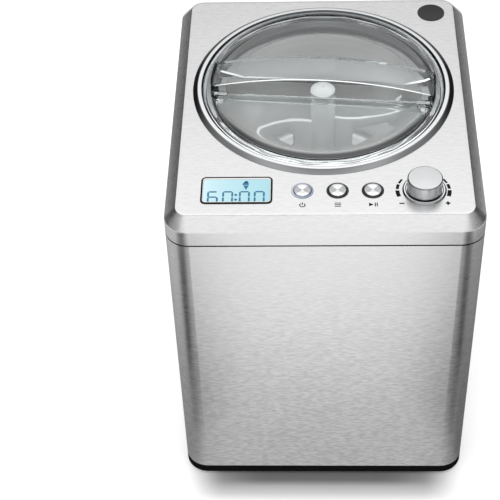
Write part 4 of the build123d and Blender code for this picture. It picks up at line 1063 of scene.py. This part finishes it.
class ICECREAM_OT_buttons(bpy.types.Operator):
    """Three push buttons with their light rings and symbols"""

    bl_idname = "icecream.buttons"
    bl_label = "Buttons"

    def execute(self, context):
        colours = context.scene.icecream_colours
        controls = context.scene.icecream_controls
        turns = controls.turns // 2
        unlit = moulded_finish("unlit_ring", colours.black, 0.12, 500.0, 0.01)
        lit = lit_finish("lit_ring", colours.lit_ring, 0.2, *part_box(BUTTONS[0]))
        ink = moulded_finish("deck_print", colours.print_ink, 0.6, 700.0, 0.03, 0.1)
        ring_low, ring_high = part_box("button_bezels")
        rings = []
        for index, name in enumerate(BUTTONS):
            low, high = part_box(name)
            middle = (low + high) / 2
            self.cap(name, low, high, middle, turns, colours)
            inner = (high.x - low.x) / 2 + 0.3 * MM
            outer = inner + 1.5 * MM
            sleeve = outer - 1.3 * MM
            corners = [
                (inner, ring_low.z),
                (sleeve, ring_low.z),
                (sleeve, DECK),
                (outer, DECK),
                (outer, DECK + 0.35 * MM, 0.2 * MM),
                (outer - 0.5 * MM, ring_high.z, 0.3 * MM),
                (inner, ring_high.z - 0.2 * MM, 0.1 * MM),
            ]
            mesh = turned_mesh(f"light_ring_{index}", corners, middle, turns, 3)
            finish = lit if index == 0 else unlit
            rings.append(add_piece(f"light_ring_{index}", mesh, finish, "casing", "chrome"))
        for ring in rings:
            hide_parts("button_bezels")
        add_print("button_symbols", self.symbols(controls), DECK, PRINT_DEPTH, ink, "black_plastic")
        return {"FINISHED"}

    def cap(self, name, low, high, middle, turns, colours):
        """Spun metal cap with a rounded rim, a skirt and the plunger below it."""
        radius = (high.x - low.x) / 2
        stem = 1.75 * MM
        skirt = DECK - 3.7 * MM
        corners = [
            (0, low.z),
            (stem, low.z, 0.2 * MM),
            (stem, skirt),
            (radius, skirt, 0.3 * MM),
            (radius, high.z, 0.7 * MM),
            (radius * 0.55, high.z, 1.5 * MM),
            (0, high.z - 0.25 * MM),
        ]
        mesh = turned_mesh(f"{name}_cap", corners, middle, turns, 4)
        # The caps carry a strong painted bow-tie sheen.
        finish = spun_finish(f"{name}_metal", colours.chrome, middle, 0.75, 0.2)
        add_piece(f"{name}_cap", mesh, finish, name, "satin_silver", name)

    def symbols(self, controls):
        """Generic symbols under the buttons: on and off, a list, and run or pause."""
        size = controls.symbol
        thin = 0.8 * MM
        below = Vector((0, 16.0 * MM, 0))
        power, menu, start = (middle_of(name) - below for name in BUTTONS)
        ring = (power.x, power.y - 0.2 * MM)
        outer = arc(ring, size / 2, 125, 415, 28)
        inner = arc(ring, size / 2 - thin, 125, 415, 28)
        shapes = [[*outer[i : i + 2], inner[i + 1], inner[i]] for i in range(len(outer) - 1)]
        shapes.append(bar(power.x, power.y + size * 0.28, thin, size * 0.55))
        for lift in (-0.36, 0.0, 0.36):
            shapes.append(bar(menu.x, menu.y + size * lift, size, thin))
        x, y = start.x, start.y
        shapes.append([(x - size * 0.7, y - size * 0.42), (x, y), (x - size * 0.7, y + size * 0.42)])
        for step in (0.28, 0.58):
            shapes.append(bar(x + size * step, y, thin, size * 0.84))
        return shapes


class ICECREAM_OT_knob(bpy.types.Operator):
    """Knob, its flange and the scale marks round it"""

    bl_idname = "icecream.knob"
    bl_label = "Knob"

    def execute(self, context):
        colours = context.scene.icecream_colours
        controls = context.scene.icecream_controls
        radius = (KNOB_HIGH.x - KNOB_LOW.x) / 2
        bore = 3.0 * MM
        # The side is painted darker and the face lighter than the chrome, painted shade and painted
        # light over the grooves each has; the face also has a faint painted bow-tie sheen.
        side = lathed_finish("knob_side", shade(colours.chrome, 0.8), KNOB_AXIS, 0.26)
        top = spun_finish("knob_face", shade(colours.chrome, 0.92), KNOB_AXIS, 0.04, 0.34)
        edge = polished_finish("knob_edge_painted_dim", colours.chrome_painted_dim, 0.14)
        corners = [
            (0, KNOB_AXIS.z),
            (bore, KNOB_AXIS.z),
            (bore, KNOB_LOW.z),
            (radius, KNOB_LOW.z, 0.4 * MM),
            (radius, KNOB_HIGH.z, 1.3 * MM),
            (0, KNOB_HIGH.z),
        ]
        mesh = turned_mesh("knob_body", corners, KNOB_AXIS, controls.turns, 8)
        knob = add_piece("knob_body", mesh, side, "knob", "satin_silver", "knob")

        # The chamfer under the face gets the grey chrome, a painted dark reflection.
        def choose(face):
            if face.normal.z > 0.95:
                return 1
            return 2 if face.normal.z > 0.12 else 0

        paint_faces(knob, (top, edge), choose)
        self.flange(colours, controls.turns)
        self.marks(colours, controls)
        dress(plain_metal_finish("shaft_steel", (0.55, 0.55, 0.56), 0.25), "encoder_shaft")
        return {"FINISHED"}

    def flange(self, colours, turns):
        """Stepped chrome ring under the knob."""
        outer = (FLANGE_HIGH.x - FLANGE_LOW.x) / 2
        rise = FLANGE_HIGH.z
        ledge = rise - 0.9 * MM
        corners = [
            (KNOB_BORE, DECK),
            (outer, DECK),
            (outer, DECK + 0.5 * MM, 0.2 * MM),
            (outer - 1.2 * MM, rise, 0.5 * MM),
            (outer - 2.2 * MM, rise, 0.3 * MM),
            (outer - 2.8 * MM, ledge, 0.2 * MM),
            (KNOB_BORE, ledge),
        ]
        mesh = turned_mesh("knob_flange_ring", corners, KNOB_AXIS, turns, 4)
        bright = polished_finish("flange_chrome", colours.chrome, 0.07)
        slope = polished_finish("flange_slope_painted_dim", colours.chrome_painted_dim, 0.14)
        flange = add_piece("knob_flange_ring", mesh, bright, "casing", "chrome", "knob_flange")

        # The outer slope gets the grey chrome, a painted dark reflection.
        def choose(face):
            return 1 if reach(face, KNOB_AXIS) > outer - 1.15 * MM else 0

        paint_faces(flange, (slope,), choose)

    def marks(self, colours, controls):
        """Printed marks that grow downwards on both sides, with a minus and a plus sign."""
        centre = (KNOB_AXIS.x - 0.8 * MM, KNOB_AXIS.y)
        shapes = []
        for start, end, width in ((142.5, 157, 1.7), (161, 176, 2.4), (180.5, 200, 3.2)):
            half = width * MM / 2
            for first, last in ((start, end), (180 - start, 180 - end)):
                outer = arc(centre, controls.mark_radius + half, first, last, 8)
                inner = arc(centre, controls.mark_radius - half, last, first, 8)
                shapes.append(outer + inner)
        minus_x, plus_x = 60.6 * MM, 96.6 * MM
        sign_y = KNOB_AXIS.y - 14.9 * MM
        thick = 1.3 * MM
        shapes.append(bar(minus_x, sign_y, 4.1 * MM, thick))
        shapes.append(bar(plus_x, sign_y, 3.9 * MM, thick))
        shapes.append(bar(plus_x, sign_y + thick, thick, thick))
        shapes.append(bar(plus_x, sign_y - thick, thick, thick))
        ink = moulded_finish("scale_print", colours.print_ink, 0.6, 700.0, 0.03, 0.1)
        add_print("scale_marks", shapes, DECK, PRINT_DEPTH, ink, "black_plastic")


class ICECREAM_OT_badge(bpy.types.Operator):
    """Bare dark disc in the rear corner of the deck"""

    bl_idname = "icecream.badge"
    bl_label = "Badge place"

    def execute(self, context):
        colours = context.scene.icecream_colours
        turns = context.scene.icecream_controls.turns
        radius = context.scene.icecream_casing.badge_radius
        centre = Vector((97.7, 119.5, 0)) * MM
        corners = [
            (0, DECK),
            (radius, DECK),
            (radius, DECK + 0.6 * MM, 0.35 * MM),
            (0, DECK + 0.75 * MM),
        ]
        mesh = turned_mesh("bare_disc", corners, centre, turns)
        finish = moulded_finish("disc_black", colours.black, 0.4, 700.0, 0.05)
        add_piece("bare_disc", mesh, finish, "casing", "black_plastic")
        return {"FINISHED"}


class ICECREAM_OT_inside(bpy.types.Operator):
    """Finishes of the pieces inside the casing"""

    bl_idname = "icecream.inside"
    bl_label = "Inside"

    def execute(self, context):
        black = context.scene.icecream_colours.black
        pipes = ("evaporator_coil", "discharge_pipe", "suction_pipe")
        sheet = ("chassis", "gearbox_cover", "encoder", "drive_shaft", "idler_pin", "motor_shaft")
        mouldings = ("gearbox_housing", "fan_shroud", "fan_wheel", "button_switches")
        for name, base, rough, nodes in (
            ("copper_tube", (0.62, 0.32, 0.20), 0.32, pipes),
            ("zinc_sheet", (0.5, 0.51, 0.52), 0.4, sheet),
            ("fin_aluminium", (0.66, 0.66, 0.67), 0.35, ("condenser",)),
            ("bush_bronze", (0.5, 0.36, 0.18), 0.4, ("shaft_bushes", "motor_pinion")),
        ):
            dress(plain_metal_finish(name, base, rough), *nodes)
        for name, base, rough, grain, relief, nodes in (
            ("compressor_paint", (0.02, 0.02, 0.022), 0.35, 300.0, 0.08, ("compressor",)),
            ("motor_paint", (0.24, 0.25, 0.26), 0.4, 300.0, 0.06, ("drive_motor", "fan_motor")),
            ("inner_black", black, 0.5, 900.0, 0.12, mouldings),
            ("gear_plastic", (0.72, 0.71, 0.66), 0.45, 500.0, 0.06, ("output_gear", "idler_gear")),
            ("jacket_foam", (0.78, 0.74, 0.64), 0.9, 220.0, 0.6, ("insulation",)),
            ("board_laminate", (0.03, 0.2, 0.09), 0.4, 300.0, 0.05, ("control_board",)),
            ("grommet_rubber", black, 0.8, 500.0, 0.2, ("compressor_grommets",)),
        ):
            dress(moulded_finish(name, base, rough, grain, relief), *nodes)
        return {"FINISHED"}


class ICECREAM_PT_pieces(bpy.types.Panel):
    """Sidebar list of the pieces"""

    bl_idname = "ICECREAM_PT_pieces"
    bl_label = "Ice cream maker"
    bl_space_type = "VIEW_3D"
    bl_region_type = "UI"
    bl_category = "Ice cream"

    def draw(self, context):
        for operator in OPERATORS:
            self.layout.operator(operator.bl_idname)
        for name in ("icecream_casing", "icecream_controls", "icecream_colours"):
            group = getattr(context.scene, name)
            for key in group.__annotations__:
                self.layout.prop(group, key)


SETTINGS = {
    "icecream_casing": CasingSettings,
    "icecream_controls": ControlSettings,
    "icecream_colours": ColourSettings,
}
OPERATORS = (
    ICECREAM_OT_stage,
    ICECREAM_OT_casing,
    ICECREAM_OT_rear,
    ICECREAM_OT_ring,
    ICECREAM_OT_bowl,
    ICECREAM_OT_lid,
    ICECREAM_OT_display,
    ICECREAM_OT_buttons,
    ICECREAM_OT_knob,
    ICECREAM_OT_badge,
    ICECREAM_OT_inside,
)


def register():
    """Register the settings, the operators and the panel."""
    for name, group in SETTINGS.items():
        bpy.utils.register_class(group)
        setattr(bpy.types.Scene, name, PointerProperty(type=group))
    for item in (*OPERATORS, ICECREAM_PT_pieces):
        bpy.utils.register_class(item)


def unregister():
    """Take back what register did."""
    for item in reversed((*OPERATORS, ICECREAM_PT_pieces)):
        bpy.utils.unregister_class(item)
    for name, group in SETTINGS.items():
        delattr(bpy.types.Scene, name)
        bpy.utils.unregister_class(group)


def main():
    """Make every piece in order."""
    register()
    for operator in OPERATORS:
        group, name = operator.bl_idname.split(".")
        getattr(getattr(bpy.ops, group), name)()


if __name__ == "__main__":
    main()
